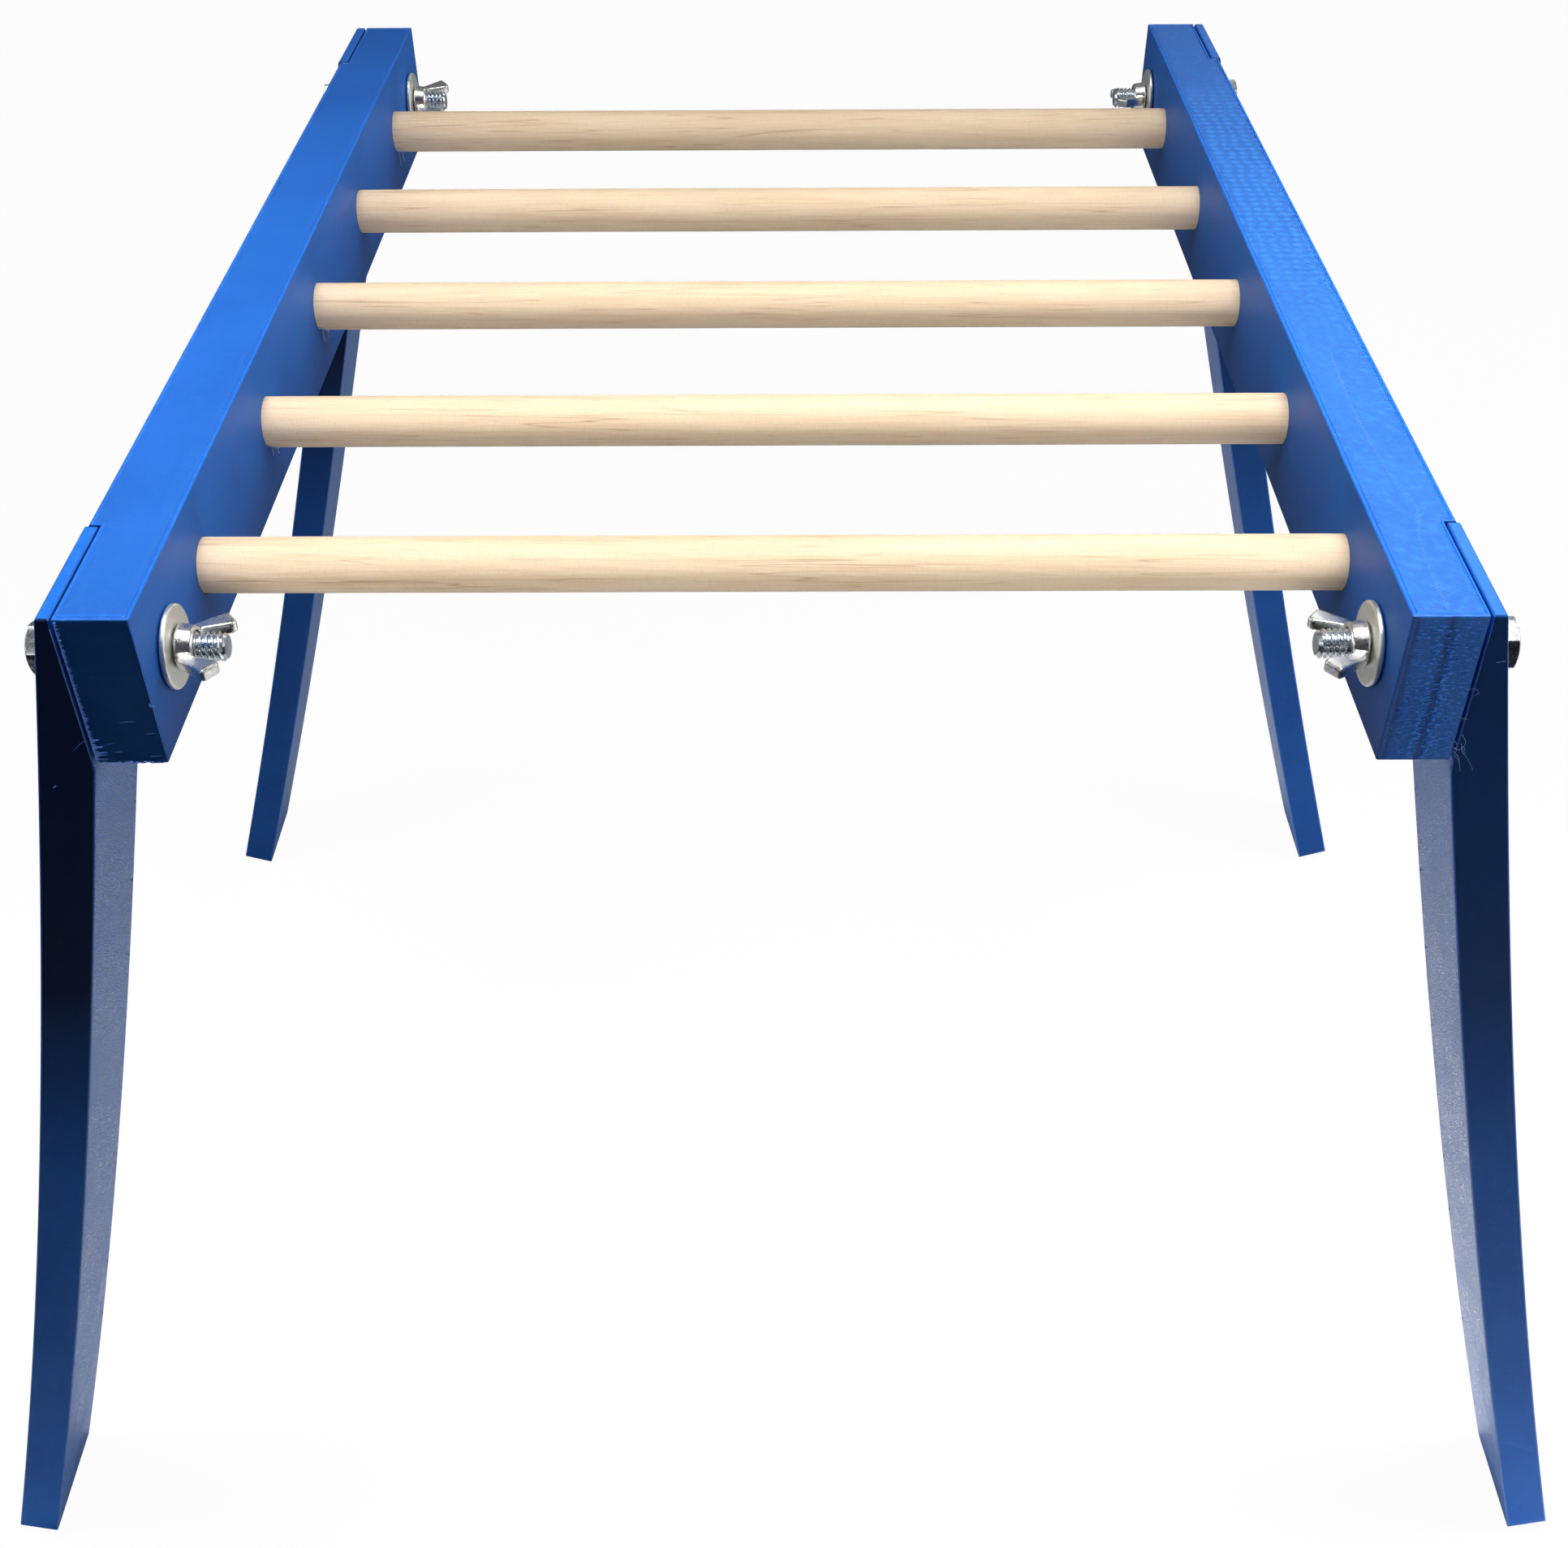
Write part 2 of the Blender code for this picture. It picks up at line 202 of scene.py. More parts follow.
def lines(stops, spacing):
    """Sorted stops with near ones merged and wide gaps filled evenly."""
    kept = []
    for stop in sorted(stops):
        if not kept or stop - kept[-1] > NEAREST_LINES:
            kept.append(stop)
    filled = [kept[0]]
    for stop in kept[1:]:
        steps = max(1, math.ceil((stop - filled[-1]) / spacing))
        start = filled[-1]
        filled += [start + (stop - start) * k / steps for k in range(1, steps + 1)]
    return np.array(filled)


def rounded(points, low, high, radius):
    """Points on a block's skin moved onto the same block with rounded edges."""
    core = np.clip(points, np.array(low) + radius, np.array(high) - radius)
    out = points - core
    length = np.linalg.norm(out, axis=1, keepdims=True)
    return core + out / np.maximum(length, 1e-12) * radius


def ring_skin(rings):
    """A closed skin through rings of points, each with the same count, with its two ends filled."""
    count = len(rings[0])
    points = np.concatenate(rings)
    faces = []
    for start in range(len(rings) - 1):
        a = np.arange(count) + start * count
        b = np.roll(np.arange(count), -1) + start * count
        faces += np.stack([a, b, b + count, a + count], 1).tolist()
    faces.append(list(range(count))[::-1])
    faces.append([len(points) - count + k for k in range(count)])
    return points, faces


def tube(points, radius):
    """A thin round strand through points, half as thick at its far end."""
    path = [Vector(point) for point in points]
    rings = []
    for k, point in enumerate(path):
        ahead = path[min(k + 1, len(path) - 1)]
        behind = path[max(k - 1, 0)]
        along = (ahead - behind).normalized()
        across = along.orthogonal().normalized()
        other = along.cross(across)
        size = radius * (1 - 0.5 * k / (len(path) - 1))
        rings.append(np.array([
            point + size * (math.cos(t) * across + math.sin(t) * other) for t in round_turns(STRAND_SIDES)
        ]))
    return ring_skin(rings)


def joined(parts):
    """Several (points, faces) as one."""
    points, faces, start = [], [], 0
    for part_points, part_faces in parts:
        points.append(np.asarray(part_points))
        faces += [[index + start for index in face] for face in part_faces]
        start += len(part_points)
    return np.concatenate(points), faces


def cut(obj, cutters):
    """Cuts closed (points, faces) shapes, which don't touch each other, from obj."""
    points, faces = joined(cutters)
    mesh = new_mesh("cutter", points, faces)
    cutter = new_object("cutter", mesh, [])
    boolean = obj.modifiers.new("cut", "BOOLEAN")
    boolean.operation = "DIFFERENCE"
    boolean.solver = "MANIFOLD"
    boolean.object = cutter
    apply_modifiers(obj)
    bpy.data.objects.remove(cutter, do_unlink=True)


def apply_modifiers(obj, sharp=35):
    graph = bpy.context.evaluated_depsgraph_get()
    mesh = bpy.data.meshes.new_from_object(obj.evaluated_get(graph), depsgraph=graph)
    obj.modifiers.clear()
    obj.data = mesh
    smooth_to(mesh, sharp)


def block(low, high):
    """A plain box as (points, faces), for cutting."""
    found, sides = lattice((2, 2, 2))
    points = np.where(found == 0, np.array(low, float), np.array(high, float))
    return points, np.concatenate(sides).tolist()


def round_turns(count):
    """The angles of evenly spaced points on a circle."""
    return np.arange(count) * 2 * math.pi / count


def x_ring(x, radius, turns, y=0.0, z=0.0):
    """A ring of points about a line along X through (y, z)."""
    x = np.broadcast_to(x, turns.shape)
    return np.stack([x, y + radius * np.cos(turns), z + radius * np.sin(turns)], 1)


def rod(start, end, radius, y, z, count=64):
    """A round bar along X as (points, faces), for cutting."""
    turns = round_turns(count)
    return ring_skin([x_ring(x, radius, turns, y, z) for x in sorted((start, end))])


def mirrored(points, faces, side):
    """The same shape on this side's rail, still facing out."""
    if side > 0:
        return points, faces
    return points * np.array([-1, 1, 1]), [list(face)[::-1] for face in faces]


# ---- materials

class Nodes:
    """Short ways to build the nodes of a material or the world."""

    def __init__(self, owner, shader="Principled BSDF", place="Object"):
        self.owner = owner
        owner.use_nodes = True
        self.tree = owner.node_tree
        self.shader = self.tree.nodes[shader]
        self.place = self.add("ShaderNodeTexCoord").outputs[place]

    def add(self, kind, inputs=None, **settings):
        """A new node with these settings, and these values or links in its sockets."""
        node = self.tree.nodes.new(kind)
        for key, value in settings.items():
            setattr(node, key, value)
        for socket, value in (inputs or {}).items():
            self.join(value, node.inputs[socket])
        return node

    def join(self, value, socket):
        if isinstance(value, bpy.types.NodeSocket):
            self.tree.links.new(value, socket)
        else:
            socket.default_value = value

    def parts(self):
        """The x, y and z of the place."""
        return self.add("ShaderNodeSeparateXYZ", {0: self.place}).outputs

    def maths(self, operation, *values):
        return self.add("ShaderNodeMath", dict(enumerate(values)), operation=operation).outputs[0]

    def plus(self, first, second):
        return self.maths("ADD", first, second)

    def times(self, first, second):
        return self.maths("MULTIPLY", first, second)

    def noise(self, size, detail=2.0, roughness=0.5, turn=(0, 0, 0), distortion=0.0):
        """Cloudy values that change over this size in millimetres, one for all axes or three."""
        size = [MM * float(each) for each in np.broadcast_to(size, 3)]
        inputs = {"Vector": self.place, "Rotation": turn, "Scale": size}
        mapped = self.add("ShaderNodeMapping", inputs, vector_type="TEXTURE").outputs[0]
        inputs = {"Vector": mapped, "Scale": 1.0, "Detail": detail}
        inputs |= {"Roughness": roughness, "Distortion": distortion}
        return self.add("ShaderNodeTexNoise", inputs).outputs[0]

    def spread(self, value, low, high, to_low=0.0, to_high=1.0):
        """A value's range from low to high, moved onto another range and clamped to it."""
        inputs = {"Value": value, "From Min": low, "From Max": high, "To Min": to_low, "To Max": to_high}
        return self.add("ShaderNodeMapRange", inputs, clamp=True).outputs[0]

    def mixed(self, share, *colours):
        """Two colours mixed."""
        first, second = (c if isinstance(c, bpy.types.NodeSocket) else (*c, 1) for c in colours)
        return self.add("ShaderNodeMix", {0: share, 6: first, 7: second}, data_type="RGBA").outputs[2]

    def tinted(self, colour, tint, value, low, high, to_high, to_low=0.0):
        """The colour with a share of the tint that goes from to_low to to_high with a value."""
        return self.mixed(self.spread(value, low, high, to_low, to_high), colour, tint)

    def bumped(self, height, distance, normal=None):
        inputs = {"Strength": 1.0, "Distance": distance, "Height": height}
        if normal is not None:
            inputs["Normal"] = normal
        return self.add("ShaderNodeBump", inputs).outputs[0]

    def finish(self, colour, roughness, normal, **fixed):
        """The material, with these in its shader's sockets."""
        values = {"Base Color": colour, "Roughness": roughness, "Normal": normal, **fixed}
        for name, value in values.items():
            self.join(value, self.shader.inputs[name.replace("_", " ")])
        return self.owner

    def lit_for_camera(self, other, output):
        """The shader is what the camera sees, and the other is the light that the object gives."""
        seen = self.add("ShaderNodeLightPath").outputs["Is Camera Ray"]
        inputs = {0: seen, 1: other, 2: self.shader.outputs[0]}
        mix = self.add("ShaderNodeMixShader", inputs)
        self.join(mix.outputs[0], self.tree.nodes[output].inputs["Surface"])


BLUE = (0.006, 0.150, 0.640)
BLUE_DEEP = (0.004, 0.120, 0.560)
BLUE_PALE = (0.026, 0.245, 0.780)
SPECK_BLUE = (0.35, 0.50, 0.85)
BLEACHED_BLUE = (0.60, 0.72, 0.95)
FLECK_BLUE = (0.03, 0.17, 0.68)
BAND_BLUE_AND_SHADE = (0.002, 0.024, 0.130)
# What the photo's shading is painted with, on the rails' walls and the legs' fronts
WALL_SHADE = (0.004, 0.022, 0.120)
LEG_SHADE = (0.0005, 0.005, 0.038)
WOOD = (0.70, 0.50, 0.305)
WOOD_PALE = (0.86, 0.685, 0.475)
WOOD_CLOUD = (0.86, 0.70, 0.50)
WOOD_LINE = (0.42, 0.23, 0.12)
WOOD_CRACKLE = (0.56, 0.37, 0.21)
WOOD_FLECK = (0.50, 0.31, 0.16)


def toned(colour, share):
    return tuple(channel * share for channel in colour)


def plastic_layers(
    name, axis, roughness, pale=0.0, tone=1.0, relief=1.0, hatch_and_sheen=None, flecked=0.0, light=0.0, specular=0.5,
    painted_foot_shade=False,
):
    """Printed walls: fine layers stacked along an axis, with streaks that run the other ways.

    hatch_and_sheen is the colour of crossed strokes and of a painted sheen over the face, flecked the strength
    of sagged flecks and of two dark bands, partly painted shade, light that of a bleached grain, and
    painted_foot_shade darkens the foot with painted shade.
    """
    n = Nodes(bpy.data.materials.new(name))
    size = [30.0] * 3
    size[axis] = 0.22
    streaks = n.noise(size, detail=3, roughness=0.65)
    size[axis] = 1.4
    bands = n.noise(size, detail=2)
    grain = n.noise(0.35, detail=3, roughness=0.7)
    clouds = n.noise(18, detail=3)
    specks = n.spread(n.noise(0.8, detail=1), 0.70, 0.78)
    colour = n.mixed(n.spread(streaks, 0.3, 0.7), toned(BLUE_DEEP, tone), toned(BLUE, tone))
    colour = n.tinted(colour, toned(BLUE_PALE, tone), clouds, 0.35, 0.75, 0.35 + pale)
    colour = n.mixed(n.times(specks, 0.12), colour, SPECK_BLUE)
    if light:
        colour = n.tinted(colour, BLEACHED_BLUE, grain, 0.2, 0.6, light, to_low=0.7 * light)
    if painted_foot_shade:
        # Painted shade: darker towards the bottom of the walls
        colour = n.tinted(colour, WALL_SHADE, n.parts()[2], RAIL_BOTTOM, RAIL_TOP - 6 * MM, 0.0, to_low=0.62)
    rough = n.spread(n.plus(clouds, n.times(grain, 0.5)), 0.5, 1.0, roughness - 0.05, roughness + 0.10)
    normal = n.bumped(n.plus(streaks, n.times(bands, 0.8)), 0.030 * relief * MM)
    normal = n.bumped(grain, 0.014 * MM, normal)
    # Partly painted reflection: the hatch colour greys the whole face as a painted sheen and marks the crossed
    # strokes
    if hatch_and_sheen:
        colour = n.tinted(colour, hatch_and_sheen, clouds, 0.3, 0.7, 0.50, to_low=0.35)
        for turn in (0.75, -0.85):
            strokes = n.noise((3, 0.34, 2.6), detail=3, turn=(turn, 0, 0))
            normal = n.bumped(strokes, 0.25 * MM, normal)
            colour = n.tinted(colour, hatch_and_sheen, strokes, 0.46, 0.62, 0.5)
            rough = n.plus(rough, n.spread(strokes, 0.35, 0.65, 0.16, -0.06))
    if flecked:
        flecks = n.noise((1.3, 1.3, 0.42), detail=4, roughness=0.7, distortion=0.4)
        colour = n.tinted(colour, FLECK_BLUE, flecks, 0.48, 0.60, 0.6 * flecked)
        normal = n.bumped(flecks, 0.22 * flecked * MM, normal)
        wander = n.plus(n.parts()[0], n.times(clouds, 0.8 * MM))
        # Partly painted shade: two upright bands painted darker, over the shallow dents in the front end
        for share in END_BANDS:
            middle = RAIL_IN + share * (NOTCH_WALL - RAIL_IN) + 0.4 * MM
            off = n.maths("ABSOLUTE", n.maths("SUBTRACT", wander, middle))
            colour = n.tinted(colour, BAND_BLUE_AND_SHADE, off, 0.2 * MM, 1.4 * MM, 0.0, to_low=0.50)
    return n.finish(colour, rough, normal, Specular_IOR_Level=specular)


def plastic_skin(
    name, beads, roughness, ridges, sunk, pale_patches, tone=1.0, specular=0.5, painted_top_shade=0.0, woven=0.0
):
    """A printed top skin: beads laid in diagonal lines, with cloudy patches where they sank.

    beads is two axes and the slope between them, ridges and sunk are depths in millimetres, painted_top_shade
    darkens a leg's top with painted shade and woven is the strength of the pattern that shows through.
    """
    n = Nodes(bpy.data.materials.new(name))
    place = n.parts()
    first, second, slope = beads
    across = n.plus(place[first], n.times(place[second], slope))
    wave = n.maths("SINE", n.times(across, 2 * math.pi / (BEAD * math.hypot(1, slope))))
    patches = n.noise(2.2, detail=4, roughness=0.72)
    fine = n.noise(0.5, detail=3, roughness=0.7)
    clouds = n.noise(30, detail=2)
    pale = toned(BLUE_PALE, tone)
    colour = n.mixed(n.spread(clouds, 0.3, 0.7), toned(BLUE_DEEP, tone), toned(BLUE, tone))
    colour = n.tinted(colour, pale, patches, 0.48, 0.62, pale_patches)
    # Painted sheen: the crests of the beads are painted paler, the more so the higher they stand
    colour = n.tinted(colour, pale, wave, -0.2, 1, 9 * ridges)
    if woven:
        # Towards the back the lines of the layer below show through as rows of diamonds
        wander = n.times(n.noise(9, detail=3), 6 * MM)
        slopes = []
        for kind in ("ADD", "SUBTRACT"):
            line = n.plus(n.maths(kind, place[0], place[1]), wander)
            slopes.append(n.maths("SINE", n.times(line, math.pi / DIAMOND)))
        diamonds = n.plus(n.times(*slopes), n.spread(fine, 0.3, 0.7, -0.45, 0.45))
        here = n.spread(place[1], -60 * MM, 10 * MM, 0.15, 1.0)
        here = n.times(here, n.spread(place[1], 100 * MM, 125 * MM, 1.0, 0.0))
        share = n.times(here, n.spread(diamonds, 0.05, 0.45, 0, woven))
        colour = n.mixed(share, colour, tuple(min(1.0, channel) for channel in toned(pale, 1.35)))
    if painted_top_shade:
        # Painted shade: darker towards the top of a leg
        height = n.plus(place[2], n.times(clouds, 20 * MM))
        colour = n.tinted(colour, LEG_SHADE, height, 190 * MM, 265 * MM, painted_top_shade)
    rough = n.spread(n.plus(patches, n.times(fine, 0.4)), 0.4, 1.0, roughness, roughness + 0.16)
    normal = n.bumped(wave, ridges * MM)
    if woven:
        normal = n.bumped(n.times(here, diamonds), 0.05 * MM, normal)
    normal = n.bumped(patches, sunk * MM, normal)
    normal = n.bumped(fine, 0.014 * MM, normal)
    return n.finish(colour, rough, normal, Specular_IOR_Level=specular)


def dowel_wood(index):
    """Pale hardwood dowel: straight fine grain along X, a few brown growth lines and short flecks."""
    n = Nodes(bpy.data.materials.new(f"dowel_wood_{index}"))
    turn = (0.35 * index, 0, 0.010 * (index - 3))
    grain = n.noise((16, 0.50, 0.50), detail=5, roughness=0.65, turn=turn)
    rings = n.noise((140, 2.6, 2.6), detail=2, roughness=0.5, turn=turn, distortion=0.15)
    folded = n.maths("ABSOLUTE", n.maths("SUBTRACT", n.maths("FRACT", n.times(rings, 5.0)), 0.5))
    growth = n.spread(folded, 0.0, 0.07, 1.0, 0.0)
    flecks = n.spread(n.noise((1.6, 0.28, 0.28), detail=2, turn=turn), 0.62, 0.72)
    clouds = n.noise((50, 5, 5), detail=3, turn=turn)
    pores = n.noise((3.0, 0.16, 0.16), detail=3, turn=turn)
    colour = n.mixed(n.spread(grain, 0.25, 0.75), WOOD, WOOD_PALE)
    colour = n.tinted(colour, WOOD_CLOUD, clouds, 0.35, 0.7, 0.6)
    colour = n.mixed(n.times(growth, n.spread(clouds, 0.3, 0.6, 0.75, 0.2)), colour, WOOD_LINE)
    crackle = n.noise((0.45, 1.3, 1.3), detail=3, roughness=0.7, turn=turn, distortion=0.6)
    colour = n.tinted(colour, WOOD_CRACKLE, crackle, 0.50, 0.66, 0.16)
    colour = n.mixed(n.times(flecks, 0.07), colour, WOOD_FLECK)
    rough = n.spread(grain, 0.3, 0.7, 0.62, 0.48)
    height = n.plus(grain, n.times(pores, 0.6))
    height = n.maths("SUBTRACT", height, n.times(flecks, 0.5))
    normal = n.bumped(crackle, 0.05 * MM, n.bumped(height, 0.04 * MM))
    return n.finish(colour, rough, normal, Specular_IOR_Level=0.35)


def zinc(name, tint, roughness, cast=0.0, scratch=0.010):
    """Zinc plating: bright grey with cloudy tarnish, fine scratches and, where cast, an uneven skin."""
    n = Nodes(bpy.data.materials.new(name))
    clouds = n.noise(2.2, detail=4, roughness=0.6)
    fine = n.noise(0.25, detail=3, roughness=0.7)
    lumps = n.noise(1.1, detail=2)
    scratches = n.noise((2.5, 0.10, 0.10), detail=2, turn=(0.4, 0.7, 0.2))
    dark = toned(tint, 0.62)
    colour = n.tinted(tint, dark, clouds, 0.40, 0.75, 0.25)
    colour = n.tinted(colour, dark, fine, 0.60, 0.80, 0.35)
    uneven = n.plus(clouds, n.times(fine, 0.6))
    rough = n.spread(uneven, 0.5, 1.1, roughness - 0.06, roughness + 0.14)
    normal = n.bumped(scratches, scratch * MM)
    normal = n.bumped(lumps, (0.02 + 0.10 * cast) * MM, normal)
    return n.finish(colour, rough, normal, Metallic=1.0)


SKINS = {
    "left": plastic_skin(
        "blue_top_skin_left", (0, 1, -1.0), 0.42, ridges=0.006, sunk=0.05, pale_patches=0.15
    ),
    "right": plastic_skin(
        "blue_top_skin_right", (0, 1, 1.0), 0.34, ridges=0.034, sunk=0.16, pale_patches=0.55, woven=0.45
    ),
}
# Painted shade: the back legs' skins are painted darker than the front ones, and each leg's top darker, more
# on the left
LEG_SKINS = {
    (end, side): plastic_skin(
        f"blue_{end}_{side}_leg_skin", (0, 2, 1.0), 0.50, tone=tone,
        ridges=0.001, sunk=0.04, pale_patches=0.15, specular=0.18, painted_top_shade=painted_top_shade,
    )
    for end, tone in (("front", 1.0), ("back", 0.62))
    for side, painted_top_shade in (("left", 0.92), ("right", 0.62))
}
RIM = plastic_skin(
    "blue_outline_bead", (0, 1, 1.0), 0.34, tone=1.2, ridges=0.001, sunk=0.02, pale_patches=0.3
)
WALLS = plastic_layers("blue_layers_upright", 2, 0.50, specular=0.30, painted_foot_shade=True)
END_WALLS = {
    "left": plastic_layers("blue_layers_left_end", 2, 0.40, tone=1.1, relief=0.5),
    "right": plastic_layers(
        "blue_layers_right_end", 2, 0.36, pale=0.2, relief=1.5, flecked=1.2, specular=0.35
    ),
}
LEG_OUTER = plastic_layers("blue_leg_outer", 1, 0.42, relief=1.3)
LEG_EDGE = plastic_layers("blue_leg_edge", 1, 0.34, tone=0.9, light=0.03)
# The legs' inner faces: their hatch colour is partly a painted reflection, greyer on the right
LEG_WALLS = {
    side: plastic_layers(f"blue_layers_{side}_leg", 1, 0.24, pale=0.1, hatch_and_sheen=hatch_and_sheen, specular=1.0)
    for side, hatch_and_sheen in (("left", (0.10, 0.23, 0.54)), ("right", (0.16, 0.26, 0.52)))
}
FLECK = plastic_layers("blue_end_flecks", 2, 0.34, tone=1.4, light=0.05)
# Painted shade: near-black strands stand in for the shade of small dents in the legs' inner faces
DENT_SHADE = plastic_layers("painted_dent_shade", 2, 0.60, tone=0.10, specular=0.1)
RIDGE = plastic_layers("blue_top_ridges", 2, 0.30, tone=1.4, light=0.22)
# Partly painted light: the seam beads are painted a brighter, paler blue than the rails' plastic, as if lit
SEAM = plastic_layers("seam_bead_with_painted_light", 2, 0.30, tone=1.5, light=0.22)
HAIR = plastic_layers("pale_hair", 2, 0.30, tone=1.5, light=0.55)
WASHER_ZINC = zinc("zinc_washer", (0.93, 0.92, 0.86), 0.40, scratch=0.006)
NUT_ZINC = zinc("zinc_wing_nut", (0.84, 0.83, 0.79), 0.26, cast=0.22, scratch=0.004)
BOLT_ZINC = zinc("zinc_bolt", (0.72, 0.77, 0.80), 0.22)
GLUE = plastic_layers("clear_glue", 2, 0.25, tone=1.5, light=1.0)
WOODS = [dowel_wood(index) for index in RUNGS]


def stand_in(obj, node, body):
    """obj is shown instead of this CAD node, on its body, with its finish."""
    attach(obj, body)
    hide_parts(node)
    return obj


# ---- rails

EDGE_RADIUS = 0.40 * MM
BAND_DENT = 0.10 * MM
GROOVE_DEPTH = 0.20 * MM
OUTLINE_HEIGHT = 0.05 * MM
MOTTLE_HEIGHT = 0.022 * MM
LAYER_HEIGHT = 0.030 * MM
WAVE_HEIGHT = 0.020 * MM
# How far the mesh's lines are from an edge, and how far apart they are away from the edges
EDGE_LINES = [d * MM for d in (0, 0.12, 0.26, 0.40, 0.65, 0.85, 1.0, 1.2, 1.5, 2.0)]
SPACING_X, SPACING_Y, SPACING_Z = 0.8 * MM, 1.5 * MM, 0.55 * MM
# A rail's material slots
ON_WALL, ON_TOP, ON_END, ON_RIM = range(4)


def rail_outline_distance(x, y):
    """How far a point on the rail's top is from its outline, notches included."""
    to_end = RAIL_END - np.abs(y)
    past_step = RAIL_END - NOTCH_LENGTH - np.abs(y)
    inside = np.minimum(x - RAIL_IN, to_end)
    at_notch = past_step < 0
    outer = np.where(at_notch, NOTCH_WALL - x, RAIL_OUT - x)
    corner = np.hypot(np.maximum(NOTCH_WALL - x, 0), np.maximum(past_step, 0))
    distance = np.minimum(inside, outer)
    return np.where(at_notch, distance, np.minimum(distance, corner))


def make_rail(side_name, side):
    name = "rail_" + side_name
    seed = 11 if side > 0 else 23
    notch_start = RAIL_END - NOTCH_LENGTH
    x_stops = [RAIL_IN + d for d in EDGE_LINES] + [RAIL_OUT - d for d in EDGE_LINES]
    x_stops += [NOTCH_WALL - d for d in EDGE_LINES]
    y_stops = [s * (RAIL_END - d) for d in EDGE_LINES for s in (-1, 1)]
    y_stops += [s * (notch_start - d) for d in EDGE_LINES for s in (-1, 1)]
    z_stops = [RAIL_BOTTOM + d for d in EDGE_LINES[:6]] + [RAIL_TOP - d for d in EDGE_LINES[:6]]
    axes = [lines(x_stops, SPACING_X), lines(y_stops, SPACING_Y), lines(z_stops, SPACING_Z)]
    found, sides = lattice([len(axis) for axis in axes])
    flat = np.stack([axes[k][found[:, k]] for k in range(3)], 1)
    points = rounded(flat, (RAIL_IN, -RAIL_END, RAIL_BOTTOM), (RAIL_OUT, RAIL_END, RAIL_TOP), EDGE_RADIUS)
    top = found[:, 2] == len(axes[2]) - 1
    x, y = flat[:, 0], flat[:, 1]
    distance = rail_outline_distance(x, y)
    inner = fade(distance, 0.5 * MM, 1.4 * MM)
    grooves = bump(distance, 0.95 * MM, 0.16 * MM) + 0.5 * bump(distance, 1.5 * MM, 0.16 * MM)
    blotches = noise3(flat, (5.0, 2.6, 9.0), seed) + 0.5 * noise3(flat, (2.2, 1.4, 9), seed + 1)
    patchy = fade(y, -60 * MM, 40 * MM) if side > 0 else 0.35
    points[:, 2] -= top * GROOVE_DEPTH * grooves * fade(distance, 0.3 * MM, 0.6 * MM)
    points[:, 2] += top * OUTLINE_HEIGHT * bump(distance, 0.60 * MM, 0.20 * MM)
    points[:, 2] += top * inner * MOTTLE_HEIGHT * blotches * patchy
    from_edge = np.minimum(flat[:, 2] - RAIL_BOTTOM, RAIL_TOP - flat[:, 2])
    for row, sign in ((0, -1), (len(axes[1]) - 1, 1)):
        at_end = found[:, 1] == row
        edge = np.minimum.reduce([x - RAIL_IN, RAIL_OUT - x, from_edge])
        ripple = LAYER_HEIGHT * noise3(flat, (7, 9, 0.9), seed + 2)
        dent = sum(bump(x, RAIL_IN + share * (NOTCH_WALL - RAIL_IN), 1.0 * MM) for share in END_BANDS)
        dent = BAND_DENT * dent * (side > 0 and sign < 0)
        points[:, 1] += sign * at_end * fade(edge, 0.3 * MM, 1.2 * MM) * (ripple - WAVE_HEIGHT - dent)
    for row, sign in ((0, -1), (len(axes[0]) - 1, 1)):
        at_side = found[:, 0] == row
        waves = WAVE_HEIGHT * noise3(flat, (30, 22, 5), seed + 3)
        points[:, 0] += sign * at_side * fade(from_edge, 0.3 * MM, 2 * MM) * (waves - WAVE_HEIGHT)
    side_slots = slot_lists(sides, (ON_WALL, ON_WALL, ON_END, ON_END, ON_TOP, ON_TOP))
    top_faces = sides[5]
    to_front = RAIL_END - np.abs(y[top_faces].mean(1))
    on_rim = (distance[top_faces].mean(1) < 1.1 * MM) | (to_front < 2.2 * MM)
    side_slots[5] = np.where(on_rim, ON_RIM, ON_TOP)
    slots = np.concatenate(side_slots)
    points, faces = mirrored(points, np.concatenate(sides).tolist(), side)
    materials = [WALLS, SKINS[side_name], END_WALLS[side_name], RIM]
    rail = new_object(name + "_print", new_mesh(name, points, faces, slots), materials)
    cutters = []
    for end in (-1, 1):
        y_low, y_high = sorted((end * notch_start, end * (RAIL_END + EXCESS)))
        x_low, x_high = sorted((side * (NOTCH_WALL - SEAM_RELIEF), side * (RAIL_OUT + EXCESS)))
        cutters.append(block((x_low, y_low, RAIL_BOTTOM - EXCESS), (x_high, y_high, RAIL_TOP + EXCESS)))
    cut(rail, cutters)
    holes = [
        rod(side * (RAIL_IN - EXCESS), side * (RAIL_OUT + EXCESS), HOLE_RADIUS, end * LEG_Y, BOLT_Z)
        for end in (-1, 1)
    ]
    for low, high in RUNG_BOXES:
        middle = (low + high) / 2
        socket = side * (RAIL_IN + SOCKET_DEPTH)
        radius = RUNG_RADIUS + SOCKET_CLEARANCE
        holes.append(rod(side * (RAIL_IN - EXCESS), socket, radius, middle.y, middle.z, 96))
    cut(rail, holes)
    return stand_in(rail, name, "frame")


# ---- legs

def leg_outer(depth):
    return NOTCH_WALL + GAP + LEG_TOP_THICKNESS + LEG_SPLAY * depth + LEG_BOW * depth * depth


def leg_slope(depth):
    return LEG_SPLAY + 2 * LEG_BOW * depth


LEG_RADIUS = 0.50 * MM
FOOT_CHAMFER = 2.4 * MM
LEG_GROOVE_DEPTH = 0.07 * MM
